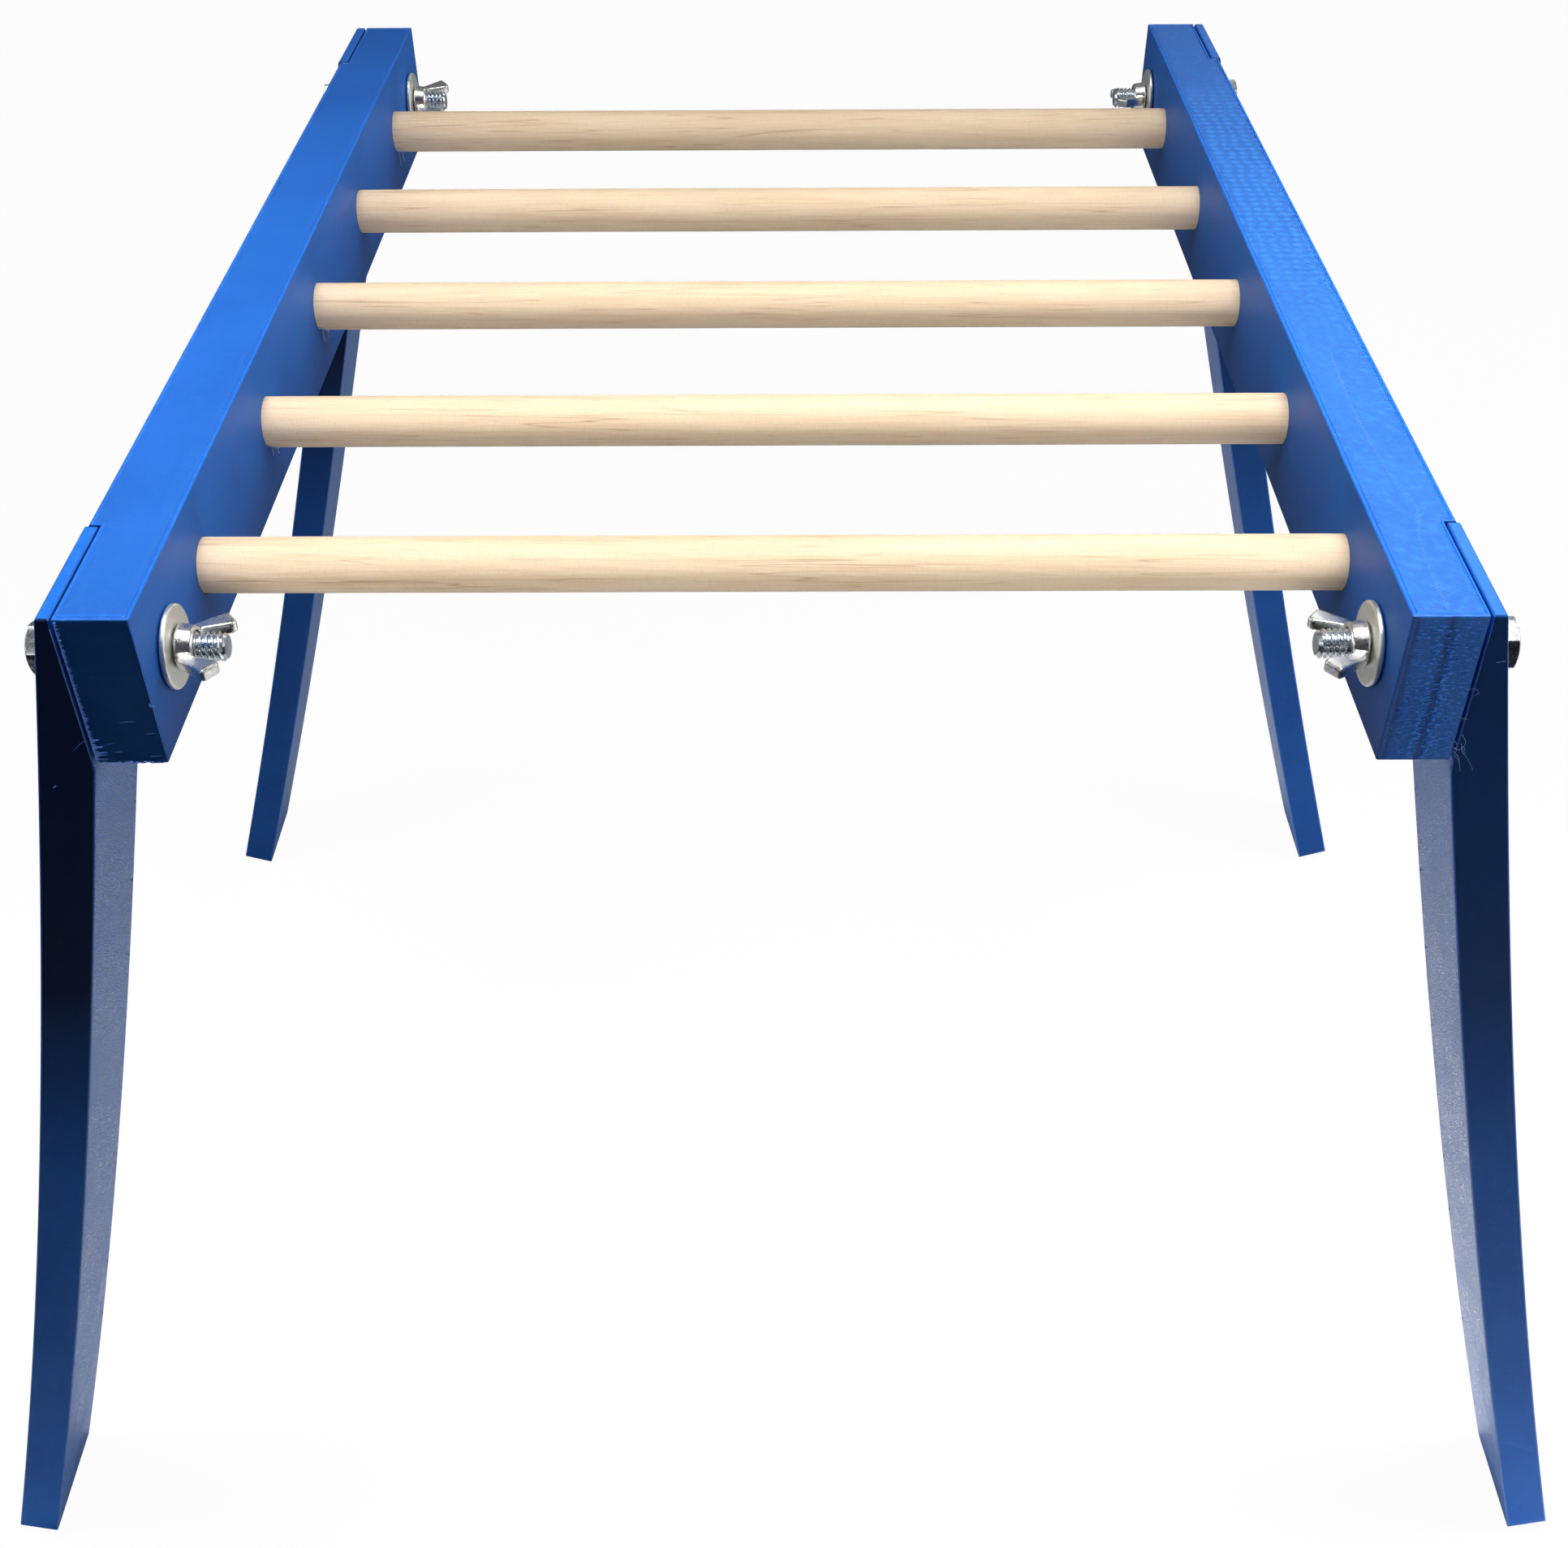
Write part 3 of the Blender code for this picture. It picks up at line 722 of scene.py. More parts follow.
# Where the mesh's lines are: shares of the thickness, and distances from a top edge and from a side edge
LEG_SHARES = np.array([
    0, 0.010, 0.024, 0.04, 0.07, 0.10, 0.2, 0.35, 0.5, 0.65, 0.8, 0.90, 0.93, 0.96, 0.976, 0.990, 1,
])
LEG_END_LINES = [d * MM for d in (0, 0.12, 0.3, 0.5, 1.2)]
LEG_SIDE_LINES = [d * MM for d in (0, 0.15, 0.32, 0.5, 0.8, 1.0, 1.2, 1.6)]
# A leg's material slots
LEG_INNER, LEG_FRONT, LEG_CORNER, LEG_TOP, LEG_OUT = range(5)


def make_leg(side_name, side, end_name, end):
    name = f"leg_{end_name}_{side_name}"
    seed = 31 + 7 * side + 3 * end
    inner_top = NOTCH_WALL + GAP
    bend = RAIL_TOP / 2
    for _ in range(20):
        bend -= (leg_outer(bend) - LEG_THICKNESS - inner_top) / leg_slope(bend)
    slope = leg_slope(RAIL_TOP)
    foot_rise = LEG_THICKNESS * slope / (1 + slope * slope)
    stops = [*LEG_END_LINES, *(bend + d * MM for d in (-1.2, -0.3, 0.3, 1.2))]
    depth_in = lines(stops + [RAIL_TOP - d for d in LEG_END_LINES], 2.2 * MM)
    share = depth_in / RAIL_TOP
    depth_out = depth_in - foot_rise * share
    half = LEG_WIDTH / 2
    b_lines = lines([s * (half - d) for d in LEG_SIDE_LINES for s in (-1, 1)], 1.6 * MM)
    found, sides = lattice((len(LEG_SHARES), len(b_lines), len(depth_in)))
    a, b, c = LEG_SHARES[found[:, 0]], b_lines[found[:, 1]], found[:, 2]
    # The rounded bend: the inner face leaves the notch wall over a millimetre or so
    slack = leg_outer(depth_in) - LEG_THICKNESS - inner_top
    soft = 0.10 * MM
    inner_x = inner_top + (slack + np.sqrt(slack * slack + soft * soft)) / 2
    outer_x = leg_outer(depth_out)
    p_in = np.stack([inner_x, RAIL_TOP - depth_in], 1)[c]
    p_out = np.stack([outer_x, RAIL_TOP - depth_out], 1)[c]
    span = p_out - p_in
    thick = np.linalg.norm(span, axis=1)
    along = span / thick[:, None]
    to_end = np.minimum(depth_in, RAIL_TOP - depth_in)[c]
    inset = LEG_RADIUS - np.sqrt(np.maximum(LEG_RADIUS**2 - np.maximum(LEG_RADIUS - to_end, 0) ** 2, 0))
    inset = np.minimum(inset, 0.45 * MM)
    low = np.stack([inset, -half + inset, 0 * inset], 1)
    high = np.stack([thick - inset, half - inset, 0 * inset], 1)
    radius = (LEG_RADIUS - inset * 0.9)[:, None]
    flat = np.stack([a * thick, b, 0 * a], 1)
    flat = np.clip(flat, low, high)
    core = np.clip(flat, low + radius * [1, 1, 0], high - radius * [1, 1, 0])
    out = flat - core
    length = np.linalg.norm(out, axis=1, keepdims=True)
    shape = np.where(length > 1e-9, core + out / np.maximum(length, 1e-12) * radius, flat)
    x = p_in[:, 0] + along[:, 0] * shape[:, 0]
    z = p_in[:, 1] + along[:, 1] * shape[:, 0]
    place = np.stack([x, b, z], 1)
    facing = 1.0 * (found[:, 0] == 0) - 1.0 * (found[:, 0] == len(LEG_SHARES) - 1)
    on_low, on_high = found[:, 1] == 0, found[:, 1] == len(b_lines) - 1
    inner_edge = np.minimum(b + half, half - b)
    first_layers = bump(b, -half + 0.95 * MM, 0.12 * MM) + 0.6 * bump(b, -half + 1.6 * MM, 0.14 * MM)
    waves = 0.5 * (noise3(place, (40, 4.0, 14), seed) + noise3(place, (40, 9, 3), seed + 1))
    face = facing * fade(inner_edge, 0.4 * MM, 1.5 * MM) * fade(to_end, 1 * MM, 3 * MM)
    dent = WAVE_HEIGHT * (waves - 1.0)
    x -= face * dent * along[:, 0]
    z -= face * dent * along[:, 1]
    groove = LEG_GROOVE_DEPTH * first_layers * facing * fade(to_end, 0.6 * MM, 2 * MM)
    x += groove * along[:, 0]
    z += groove * along[:, 1]
    y = shape[:, 1].copy()
    if side > 0:
        # The right-hand feet were printed with their bottom corners cut off
        to_foot = (RAIL_TOP - depth_in)[c]
        narrow = np.maximum(FOOT_CHAMFER - to_foot, 0) * 0.9
        y = np.clip(y, -half + narrow, half - narrow)
    rim = np.minimum(a * thick, (1 - a) * thick)
    skin = bump(rim, 0.95 * MM, 0.25 * MM) * fade(to_end, 0.6 * MM, 2 * MM)
    y += OUTLINE_HEIGHT * skin * on_low - OUTLINE_HEIGHT * skin * on_high
    points = np.stack([x, y + end * LEG_Y, z], 1)
    side_slots = slot_lists(sides, (LEG_INNER, LEG_OUT, LEG_FRONT, LEG_FRONT, LEG_TOP, LEG_OUT))
    for row in (2, 3):
        off_middle = np.abs(a[sides[row]].mean(1) - 0.5)
        side_slots[row] = np.where(off_middle > 0.46, LEG_CORNER, LEG_FRONT)
    in_notch = depth_in[c][sides[0]].mean(1) < RAIL_TOP - RAIL_BOTTOM
    side_slots[0] = np.where(in_notch, LEG_OUT, LEG_INNER)
    slots = np.concatenate(side_slots)
    # The lattice runs from inside to out, front to back and top to foot, which is left-handed
    faces = np.concatenate(sides)[:, ::-1].tolist()
    points, faces = mirrored(points, faces, side)
    materials = [LEG_WALLS[side_name], LEG_SKINS[end_name, side_name], LEG_EDGE, RIM, LEG_OUTER]
    leg = new_object(name + "_print", new_mesh(name, points, faces, slots), materials)
    cut(leg, [rod(side * RAIL_IN, side * (RAIL_OUT + 20 * MM), HOLE_RADIUS, end * LEG_Y, BOLT_Z)])
    return stand_in(leg, name, name)


# ---- rungs

RUNG_ROUND = 0.6 * MM
RUNG_GRAIN = 0.020 * MM


def make_rung(index):
    low, high = RUNG_BOXES[index - 1]
    middle = (low + high) / 2
    turns = round_turns(72)
    ends = [d * MM for d in (0, 0.2, 0.6, 1.2)]
    rings = []
    for x in lines([low.x + d for d in ends] + [high.x - d for d in ends], 2.4 * MM):
        from_end = min(x - low.x, high.x - x)
        shrink = RUNG_ROUND * (1 - min(1.0, from_end / RUNG_ROUND)) ** 2
        rough = noise3(x_ring(x, RUNG_RADIUS, turns), (14, 1.2, 1.2), 50 + index) * RUNG_GRAIN
        rings.append(x_ring(x, RUNG_RADIUS - RUNG_GRAIN - shrink + rough, turns, middle.y, middle.z))
    points, faces = ring_skin(rings)
    name = f"rung_{index}"
    rung = new_object(name + "_dowel", new_mesh(name, points, faces), [WOODS[index - 1]])
    return stand_in(rung, name, "frame")


# ---- hardware

HEX_COUNT = 60


def bolt_mesh():
    """A hex bolt along X for the right-hand rail, about the axis itself: thread, shank and head."""
    turns = round_turns(HEX_COUNT)
    seat = RAIL_IN + HEAD_SEAT
    tip = seat - BOLT_LENGTH
    thread_end = tip + THREAD_LENGTH
    rings = [x_ring(tip + 0.10 * MM, 1.0 * MM, turns)]
    for x in np.arange(tip, thread_end, PITCH / 12):
        phase = ((x - tip) / PITCH - turns / (2 * math.pi)) % 1
        ramp = np.clip((np.abs(phase - 0.5) * 2 - 0.14) / 0.62, 0, 1)
        radius = THREAD_ROOT + (BOLT_RADIUS - THREAD_ROOT) * ramp
        radius = np.minimum(radius, BOLT_RADIUS - BOLT_TIP_CHAMFER + (x - tip) * 0.8)
        run_out = fade(x, thread_end - PITCH, thread_end)
        rings.append(x_ring(x, radius * (1 - run_out) + SHANK_RADIUS * run_out, turns))
    shank = [(thread_end + 0.2 * MM, 0), (seat - 0.25 * MM, 0), (seat, 0.2 * MM)]
    rings += [x_ring(x, SHANK_RADIUS + more, turns) for x, more in shank]
    flat = HEAD_FLATS / 2
    sector = (turns + 1e-9) % (math.pi / 3) - math.pi / 6
    hexagon = np.minimum(flat / np.cos(sector), flat / math.cos(math.pi / 6) - 0.16 * MM)
    collar = flat * 0.97
    crown = flat * 0.94
    top = seat + HEAD_HEIGHT
    shoulder = top - (hexagon - crown) * math.tan(math.radians(27))
    head = [
        (seat, collar), (seat + 0.25 * MM, collar), (seat + 0.28 * MM, hexagon - 0.25 * MM),
        (seat + 0.45 * MM, hexagon), (shoulder - 0.10 * MM, hexagon), (shoulder, hexagon - 0.06 * MM),
        (top - 0.02 * MM, crown + 0.05 * MM), (top, crown - 0.12 * MM), (top - 0.06 * MM, 2.0 * MM),
    ]
    return ring_skin(rings + [x_ring(x, radius, turns + HEAD_TURN) for x, radius in head])


def washer_mesh():
    """A stamped washer along X for the right-hand rail: domed, with one rolled and one sharper rim."""
    count = 96
    outer_end = RAIL_IN - GAP
    inner_end = outer_end - WASHER_THICKNESS
    # From each face inwards and from the hole or the rim, in millimetres, once around the section
    profile = [(outer_end - d * MM, WASHER_HOLE + more * MM) for d, more in ((0.10, 0), (0, 0.12))]
    outer_rim = ((0, 0.25), (0.05, 0.10), (0.18, 0.02), (0.40, 0))
    profile += [(outer_end - d * MM, WASHER_RADIUS - less * MM) for d, less in outer_rim]
    inner_face = (
        (0.50, 0), (0.28, 0.05), (0.12, 0.18), (0.03, 0.42), (0, 0.8), (0.02, 2.0), (0.03, 3.2), (0.01, 4.4),
    )
    profile += [(inner_end + d * MM, WASHER_RADIUS - less * MM) for d, less in inner_face]
    inner_rim = ((0, 0.30), (0.05, 0.10), (0.18, 0))
    profile += [(inner_end + d * MM, WASHER_HOLE + more * MM) for d, more in inner_rim]
    rings = [x_ring(x, radius, round_turns(count)) for x, radius in profile]
    faces = []
    for start in range(len(rings)):
        a = np.arange(count) + start * count
        b = np.roll(np.arange(count), -1) + start * count
        after = (start + 1) % len(rings) * count - start * count
        faces += np.stack([b, a, a + after, b + after], 1).tolist()
    return np.concatenate(rings), faces


def make_hardware(kind, finish, mesh, sharp, material, corner, body, side, end):
    """A shape made for the right-hand rail, turned to this corner's bolt axis."""
    points, faces = mesh
    if side < 0:
        points = points * np.array([-1, -1, 1])
    points = points + np.array([0, end * LEG_Y, BOLT_Z])
    name = f"{kind}_{corner}"
    piece = new_object(f"{name}_{finish}", new_mesh(kind, points, faces, sharp=sharp), [material])
    return stand_in(piece, name, body)


def make_bolt(corner, side, end):
    return make_hardware("bolt", "threaded", bolt_mesh(), 28, BOLT_ZINC, corner, "leg_" + corner, side, end)


def make_washer(corner, side, end):
    return make_hardware("washer", "stamped", washer_mesh(), 40, WASHER_ZINC, corner, "frame", side, end)


def make_wing_nut(corner):
    """The CAD's wing nut as a casting: its edges and corners filleted."""
    name = "wing_nut_" + corner
    nut = new_object(name + "_cast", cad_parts[name].data.copy(), [])
    nut.data.materials.clear()
    nut.data.materials.append(NUT_ZINC)
    for kind, settings in (
        ("WELD", {"merge_threshold": 0.002 * MM}),
        ("REMESH", {"mode": "VOXEL", "voxel_size": 0.13 * MM}),
        ("SMOOTH", {"factor": 0.5, "iterations": 14}),
        ("DECIMATE", {"ratio": 0.30}),
    ):
        modifier = nut.modifiers.new(kind.lower(), kind)
        for key, value in settings.items():
            setattr(modifier, key, value)
    apply_modifiers(nut, sharp=70)
    return stand_in(nut, name, "nut_" + corner)


# ---- print flaws

FRONT = -RAIL_END
# The row of ridges on the right-hand rail's top
SEAM_X, SEAM_BACK = 135.6 * MM, -66 * MM


def fleck(start, end, radius, sides=STRAND_SIDES):
    """A short strand with narrow ends between two points."""
    start, end = np.array(start, float), np.array(end, float)
    along = (end - start) / np.linalg.norm(end - start)
    across = np.cross(along, (0.3, 0.5, 0.8))
    across /= np.linalg.norm(across)
    other = np.cross(along, across)
    turns = round_turns(sides)
    circle = np.outer(np.cos(turns), across) + np.outer(np.sin(turns), other)
    steps = ((0.0, 0.15), (0.12, 0.75), (0.35, 1.0), (0.65, 1.0), (0.88, 0.75), (1.0, 0.15))
    rings = [start + (end - start) * share + circle * radius * size for share, size in steps]
    return ring_skin(rings)


def scatter(name, shapes, body, material):
    """Small strands as one piece on this body."""
    points, faces = joined(shapes)
    piece = new_object(name, new_mesh(name, points, faces, sharp=180), [material])
    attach(piece, body)
    return piece


def front_fleck(x, z, reach, drop, radius):
    """A short strand across a front end."""
    return fleck((x, FRONT, z), (x + reach, FRONT, z + drop), radius)


def hair(radius, *points):
    """A loose thread on a front face, from its radius and (x, z) points in millimetres, with a little lift."""
    knots = np.array([points[0], *points, points[-1]]) * MM
    path = []
    for k in range(1, len(knots) - 2):
        before, start, end, after = knots[k - 1:k + 3]
        for share in np.linspace(0, 1, 7)[1 if path else 0:]:
            pull = (end - before) * share + (2 * before - 5 * start + 4 * end - after) * share**2
            bend = pull + (3 * start - before - 3 * end + after) * share**3
            path.append(start + bend / 2)
    lifts = 0.10 * MM * np.sin(np.linspace(0, math.pi, len(path)))
    return tube([(x, FRONT - lift, z) for (x, z), lift in zip(path, lifts)], radius * MM)


def seam_beads():
    """The ragged end of every layer beside the notch, on the left-hand rail's front end."""
    dice = random.Random(3)
    shapes = []
    start = -(NOTCH_WALL - SEAM_RELIEF - 0.10 * MM)
    z = RAIL_BOTTOM + 0.5 * MM
    while z < RAIL_TOP - 0.6 * MM:
        low = fade(z, RAIL_BOTTOM + 15 * MM, RAIL_BOTTOM)
        reach = dice.uniform(0.5, 1.0) * MM + low * dice.choice((0, 0, 0.4, 2.2)) * MM
        drop = dice.uniform(-0.10, 0.10) * MM
        shapes.append(front_fleck(start, z, reach, drop, dice.uniform(0.13, 0.22) * MM))
        z += dice.uniform(0.22, 0.38) * MM
    for _ in range(26):
        x = -dice.uniform(RAIL_IN + 0.5 * MM, NOTCH_WALL - 1 * MM)
        z = RAIL_BOTTOM + dice.uniform(0.0, 0.5) * MM
        reach = -dice.uniform(0.5, 1.6) * MM
        shapes.append(front_fleck(x, z, reach, 0, dice.uniform(0.06, 0.14) * MM))
    # Height above the bottom, x and reach, in millimetres
    for height, x, reach in (
        (11.0, -135.5, 3.6), (7.9, -130.6, 2.0), (1.9, -131.0, 2.4), (5.2, -139.4, 1.6), (3.0, -138.6, 2.2)
    ):
        shapes.append(front_fleck(x * MM, RAIL_BOTTOM + height * MM, reach * MM, 0.1 * MM, 0.05 * MM))
    for turn in range(4):
        x = -RAIL_IN - 0.7 * MM
        z = RAIL_BOTTOM + (15.0 + 0.25 * turn) * MM
        reach = (0.4 + dice.uniform(0.2, 1.0)) * MM
        shapes.append(front_fleck(x, z, reach, 0.1 * MM, 0.12 * MM))
    return shapes


def leg_edge_line(side):
    """The pale raised line down the inner front edge of a leg, beside the rail."""
    x = side * (NOTCH_WALL + GAP + 0.25 * MM)
    return [fleck((x, FRONT, RAIL_TOP - 1.5 * MM), (x, FRONT, RAIL_BOTTOM + 1 * MM), 0.12 * MM)]


def end_edge(side):
    """The raised bead down the inner edge of a rail's front end."""
    x, y = side * (RAIL_IN + 0.22 * MM), FRONT + 0.06 * MM
    return [fleck((x, y, RAIL_TOP - 0.6 * MM), (x, y, RAIL_BOTTOM + 0.3 * MM), 0.14 * MM)]


def end_flecks():
    """Sagged strands on the right-hand rail's front end: two columns by the middle band, and small ones."""
    dice = random.Random(8)
    width = NOTCH_WALL - RAIL_IN
    middle = RAIL_IN + END_BANDS[1] * width
    shapes = []

    def strand(x, z, reach, radius):
        depth = FRONT + 0.55 * radius
        sag = dice.uniform(-0.08, 0.16) * MM
        end = min(x + reach, NOTCH_WALL - 0.7 * MM)
        if end - x > 0.3 * MM:
            shapes.append(fleck((x, depth, z), (end, depth, z + sag), radius, 8))

    for offset, gap, fullness in ((-2.6, 0.62, 0.75), (0.7, 0.50, 1.0)):
        z = RAIL_BOTTOM + 1.0 * MM
        while z < RAIL_TOP - 3 * MM:
            high = fade(z, RAIL_TOP - 16 * MM, RAIL_TOP - 6 * MM)
            if dice.random() < fullness * (1 - 0.5 * high):
                x = middle + (offset + dice.gauss(0, 0.35)) * MM
                strand(x, z, dice.uniform(0.8, 1.9) * MM, dice.uniform(0.16, 0.30) * MM)
            z += dice.uniform(0.7, 1.4) * gap * MM
    for _ in range(420):
        x = RAIL_IN + dice.uniform(0.10, 0.95) * width
        z = dice.uniform(RAIL_BOTTOM + 0.8 * MM, RAIL_TOP - 1.2 * MM)
        if abs(x - middle) > 0.6 * MM:
            strand(x, z, dice.uniform(0.5, 1.7) * MM, dice.uniform(0.07, 0.15) * MM)
    return shapes


def top_seam():
    """The row of small slanting ridges where two fills meet on the right-hand rail's top."""
    dice = random.Random(4)
    shapes = []
    y = FRONT + 2.5 * MM
    while y < SEAM_BACK:
        x = SEAM_X + 2.4 * MM * bump(y, -137 * MM, 9 * MM) + 0.6 * MM * math.sin(y / (12 * MM))
        half = dice.uniform(0.35, 0.55) * MM
        ends = [(x + turn * half, y + turn * half, RAIL_TOP) for turn in (-1, 1)]
        shapes.append(fleck(*ends, dice.uniform(0.05, 0.08) * MM))
        y += BEAD
    return shapes


def rung_drips():
    """White glue threads below the left-hand ends of three rungs."""
    shapes = []
    for index, reach in ((2, 2.2), (3, 3.4), (5, 4.6)):
        low, high = RUNG_BOXES[index - 1]
        base = np.array([-RAIL_IN, (low.y + high.y) / 2, low.z])
        # Two ends in millimetres from the bottom of the rung where it enters the rail, and a radius
        threads = [((-0.1, -5.2, 2.6), (2.6, -3.5, 1.0), 0.30)]
        for step, lean in enumerate((0.2, 0.9, -0.5)):
            x = 0.6 + 0.9 * step
            threads.append(((x, -3.6, 1.1), (x + lean, -4.0, 1.1 - reach * (1 - 0.3 * step)), 0.16))
        for start, end, radius in threads:
            shapes.append(fleck(base + np.array(start) * MM, base + np.array(end) * MM, radius * MM))
    return shapes


def leg_dent_shades(side):
    """Small dark strands, painted shade of small dents in the layers of a front leg's inner face, near its
    back edge.
    """
    dice = random.Random(15 + side)
    y = -LEG_Y + LEG_WIDTH / 2 - 1.6 * MM
    shapes = []
    for step in range(10):
        depth = (46 + 27 * step + dice.uniform(-3, 3)) * MM
        low = depth + dice.uniform(0.7, 1.3) * MM
        ends = [
            (side * (leg_outer(at) - LEG_THICKNESS + 0.20 * MM), y + lean, RAIL_TOP - at)
            for at, lean in ((depth, 0), (low, dice.uniform(-0.5, 0.5) * MM))
        ]
        shapes.append(fleck(*ends, 0.34 * MM))
    return shapes


# A radius and (x, z) points, in millimetres
LEG_HAIRS = (
    (0.05, (142.8, 329.4), (143.6, 328.0), (142.9, 326.2)),
    (0.05, (144.0, 331.0), (145.2, 328.9), (144.8, 326.8), (146.0, 325.3)),
    (0.05, (143.2, 322.4), (144.2, 319.0), (144.9, 315.0)),
    (0.04, (145.3, 326.2), (147.1, 323.8), (148.6, 321.2)),
    (0.05, (143.7, 325.4), (145.0, 323.7), (145.9, 321.0)),
    (0.08, (142.9, 327.6), (144.2, 326.9), (145.0, 327.8), (145.6, 326.6)),
    (0.07, (143.3, 326.4), (144.6, 325.0), (145.2, 323.2)),
    (0.06, (142.8, 325.2), (143.8, 323.0), (144.0, 320.4)),
    (0.07, (144.4, 328.6), (145.0, 326.9), (145.9, 325.9)),
    (0.05, (142.3, 342.6), (143.9, 343.0), (144.9, 341.8), (143.6, 341.0)),
    (0.05, (142.6, 335.5), (144.3, 335.0)),
    (0.05, (143.9, 336.4), (143.0, 334.3)),
    (0.05, (146.6, 349.6), (148.4, 350.0)),
)


# ---- the build

rails = {}
legs = {}
hardware = []
for side_name, side in SIDES.items():
    rails[side_name] = make_rail(side_name, side)
    for end_name, end in ENDS.items():
        corner = f"{end_name}_{side_name}"
        legs[corner] = make_leg(side_name, side, end_name, end)
        hardware += [make_bolt(corner, side, end), make_washer(corner, side, end), make_wing_nut(corner)]
rungs = [make_rung(index) for index in RUNGS]
left_flaws = [scatter("rail_left_seam_beads", seam_beads(), "frame", SEAM)]
right_flaws = [scatter("rail_right_end_flecks", end_flecks(), "frame", FLECK)]
scatter("rail_right_top_seam", top_seam(), "frame", RIDGE)
for side_name, side in SIDES.items():
    scatter(f"rail_{side_name}_end_edge", end_edge(side), "frame", RIM)
for side_name, side in SIDES.items():
    scatter(f"leg_front_{side_name}_dent_shades", leg_dent_shades(side), f"leg_front_{side_name}", DENT_SHADE)
scatter("leg_front_right_edge", leg_edge_line(1), "leg_front_right", RIDGE)
scatter("rung_glue_drips", rung_drips(), "frame", GLUE)
leg_hairs = [hair(*each) for each in LEG_HAIRS]
right_flaws.append(scatter("leg_front_right_hairs", leg_hairs, "leg_front_right", HAIR))
left_leg_flaws = leg_edge_line(-1) + [
    fleck((-153.9 * MM, FRONT, 317.2 * MM), (-153.0 * MM, FRONT, 317.8 * MM), 0.14 * MM),
    hair(0.05, (-143.8, 330.2), (-145.4, 328.9), (-147.3, 327.0)),
]
left_flaws.append(scatter("leg_front_left_flaws", left_leg_flaws, "leg_front_left", SEAM))


# ---- stage

WHITE = (1.0, 1.0, 1.0)
BLACK = (0.0, 0.0, 0.0)
ROOM_WHITE = (0.92, 0.96, 1.0)
# The light that comes back from the floor falls off to the front, and is less on the left
FLOOR_EDGE = -0.32
FLOOR_SKEW = -0.08
FLOOR_FADE = 0.05
FLOOR_GREYS = [(grey, grey, grey) for grey in (0.035, 0.045)]


def floor_material():
    n = Nodes(bpy.data.materials.new("floor"))
    cloud = n.noise(600, detail=1)
    colour = n.mixed(n.spread(cloud, 0.3, 0.7), *FLOOR_GREYS)
    material = n.finish(
        colour, 0.9, n.bumped(n.noise(2), 0.01 * MM),
        Specular_IOR_Level=0.1, Emission_Color=(*WHITE, 1), Emission_Strength=0.96,
    )
    x, y = n.parts()[:2]
    share = n.spread(n.plus(y, n.times(x, -FLOOR_SKEW)), FLOOR_EDGE - FLOOR_FADE, FLOOR_EDGE, 0.02, 1.0)
    share = n.times(share, n.spread(x, -0.25, 0.25, 0.50, 0.75))
    share = n.times(share, n.spread(n.maths("ABSOLUTE", x), 0.10, 0.17, 0.75, 1.15))
    bounce = n.add("ShaderNodeBsdfDiffuse", {"Color": n.mixed(share, BLACK, WHITE)})
    n.lit_for_camera(bounce.outputs[0], "Material Output")
    return material


def stage_plane(name, size, material):
    points = [(-size, -size, 0), (size, -size, 0), (size, size, 0), (-size, size, 0)]
    plane = new_object(name, new_mesh(name, points, [(0, 1, 2, 3)]), [material])
    return plane


stage_plane("floor", 6.0, floor_material())


def area_light(name, place, towards, size, power, spread):
    light = bpy.data.lights.new(name, "AREA")
    light.shape = "RECTANGLE"
    light.size, light.size_y = size
    light.energy = power
    light.spread = math.radians(spread)
    obj = bpy.data.objects.new(name, light)
    bpy.context.scene.collection.objects.link(obj)
    obj.location = place
    direction = Vector(towards) - Vector(place)
    obj.rotation_euler = direction.to_track_quat("-Z", "Y").to_euler()
    return obj


def only_on(light, pieces):
    """Keeps a light to these pieces."""
    group = bpy.data.collections.new(light.name + "_on")
    for piece in pieces:
        group.objects.link(piece)
    light.light_linking.receiver_collection = group


FRONT_LEGS = [legs["front_left"], legs["front_right"]]
RIGHT_LEGS = [legs["front_right"], legs["back_right"]]
RIGHT_END = [rails["right"], *right_flaws]
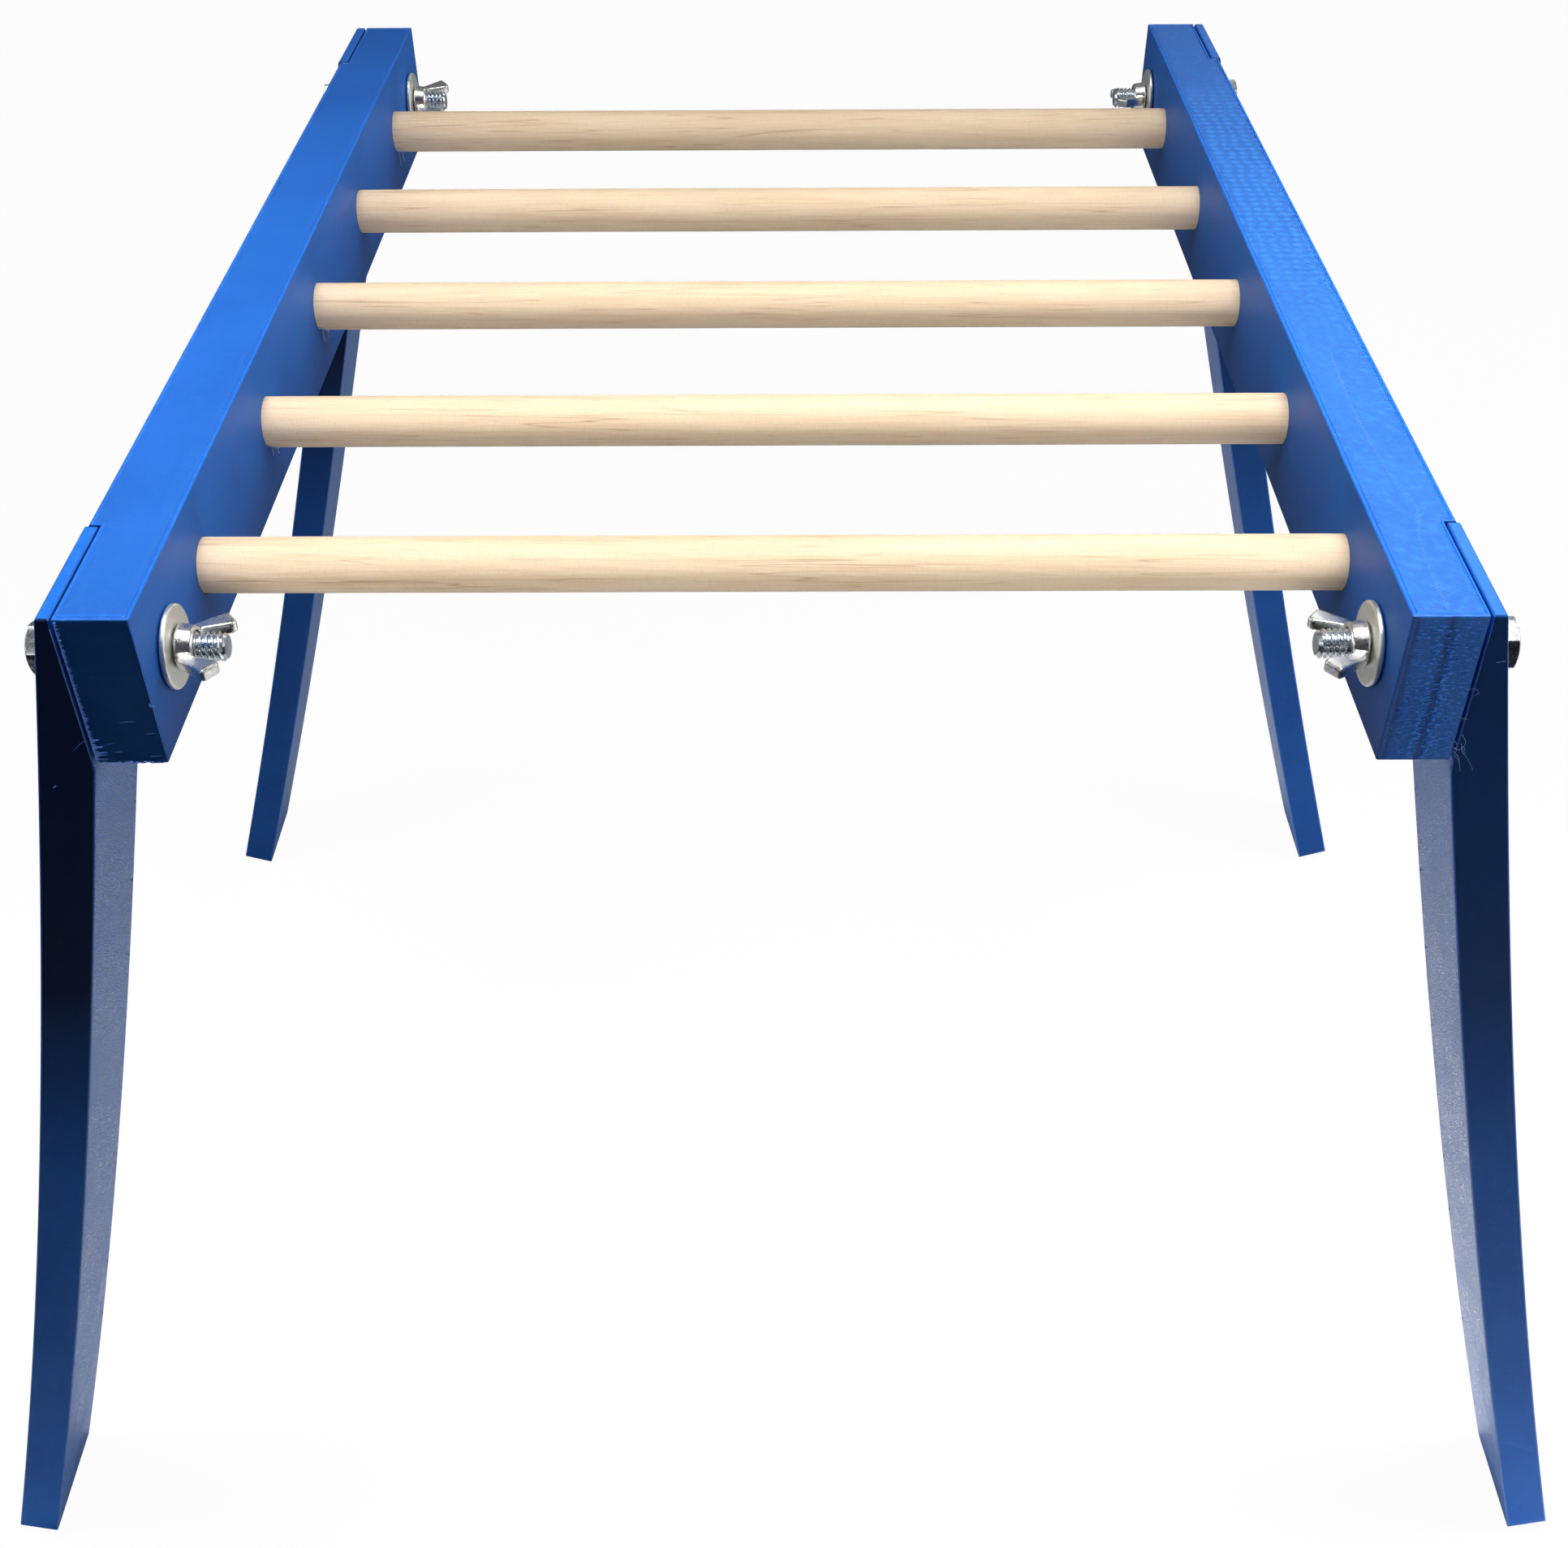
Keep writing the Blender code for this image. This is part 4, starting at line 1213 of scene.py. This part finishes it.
# Name, place, what it points at, size, watts, spread in degrees, and the pieces that it is kept to
LIGHTS = (
    ("key", (0.0, -0.10, 1.30), (0.0, -0.10, 0), (0.90, 0.36), 1.32, 36, None),
    ("key_right", (0.45, -0.13, 1.30), (0.45, -0.13, 0), (0.50, 0.30), 0.55, 34, None),
    ("side_left", (-1.20, 0.10, 0.75), (0, 0, 0.3), (0.8, 0.6), 3.6, 180, None),
    ("side_right", (1.20, 0.10, 0.75), (0, 0, 0.3), (0.8, 0.6), 6.0, 180, None),
    ("lamp", (0.0, -0.10, 1.25), (0, -0.10, 0), (0.10, 0.10), 0.25, 180, None),
    ("gloss", (0.75, 1.37, 1.42), (0.13, -0.17, 0.36), (0.9, 0.7), 3.2, 180, None),
    ("low_right", (0.65, -0.52, 0.42), (0.15, -0.17, 0.25), (0.25, 0.25), 1.5, 180, RIGHT_END),
    ("low_card", (0.0, -1.20, 0.05), (0, -0.1, 0.34), (0.5, 0.10), 0.15, 180, None),
    ("seam_left", (-0.65, -0.52, 0.42), (-0.15, -0.17, 0.25), (0.25, 0.25), 1.2, 180, left_flaws),
    ("low_left", (-0.80, -0.25, 0.05), (0.15, -0.17, 0.22), (0.4, 0.4), 3.6, 180, RIGHT_LEGS),
    ("leg_fill", (0.3, -2.00, 0.60), (0, 0, 0.15), (1.6, 0.8), 3.0, 180, FRONT_LEGS),
    ("zinc_left", (-0.90, -0.90, 0.90), (0, 0, 0.34), (0.7, 0.5), 2.5, 180, hardware),
    ("zinc_right", (0.90, -0.70, 1.00), (0, 0, 0.34), (0.3, 0.3), 1.2, 180, hardware),
    ("rung_fill", (0.0, -2.20, 0.80), (0, 0, 0.34), (1.6, 0.8), 32.0, 180, rungs),
)
for *light_values, pieces in LIGHTS:
    light = area_light(*light_values)
    if pieces:
        only_on(light, pieces)


def world_light():
    world = bpy.data.worlds.new("studio")
    bpy.context.scene.world = world
    n = Nodes(world, "Background", "Generated")
    n.shader.inputs["Color"].default_value = (*WHITE, 1)
    strength = n.spread(n.parts()[1], -0.30, 0.40, 0.015, 0.15)
    room = n.add("ShaderNodeBackground", {"Color": (*ROOM_WHITE, 1), "Strength": strength})
    n.lit_for_camera(room.outputs[0], "World Output")


world_light()

scene = bpy.context.scene
scene.view_settings.view_transform = "Standard"
scene.view_settings.look = "None"

# ---- camera

CAMERA_PLACE = Vector((0.005283, -0.476735, 0.571611))
yaw, pitch, roll = (math.radians(angle) for angle in (-0.49259, 39.98579, -0.43745))
ahead = Vector((math.sin(yaw) * math.cos(pitch), math.cos(yaw) * math.cos(pitch), -math.sin(pitch)))
level = Vector((math.cos(yaw), -math.sin(yaw), 0))
over = level.cross(ahead)
right = math.cos(roll) * level + math.sin(roll) * over
upward = -math.sin(roll) * level + math.cos(roll) * over
lens = bpy.data.cameras.new("camera")
lens.sensor_fit = "HORIZONTAL"
lens.sensor_width = 36.0
lens.lens = 42.213
lens.clip_start = 0.01
camera = bpy.data.objects.new("camera", lens)
scene.collection.objects.link(camera)
turn = Matrix((right, upward, -ahead)).transposed()
camera.matrix_world = Matrix.Translation(CAMERA_PLACE) @ turn.to_4x4()
scene.camera = camera
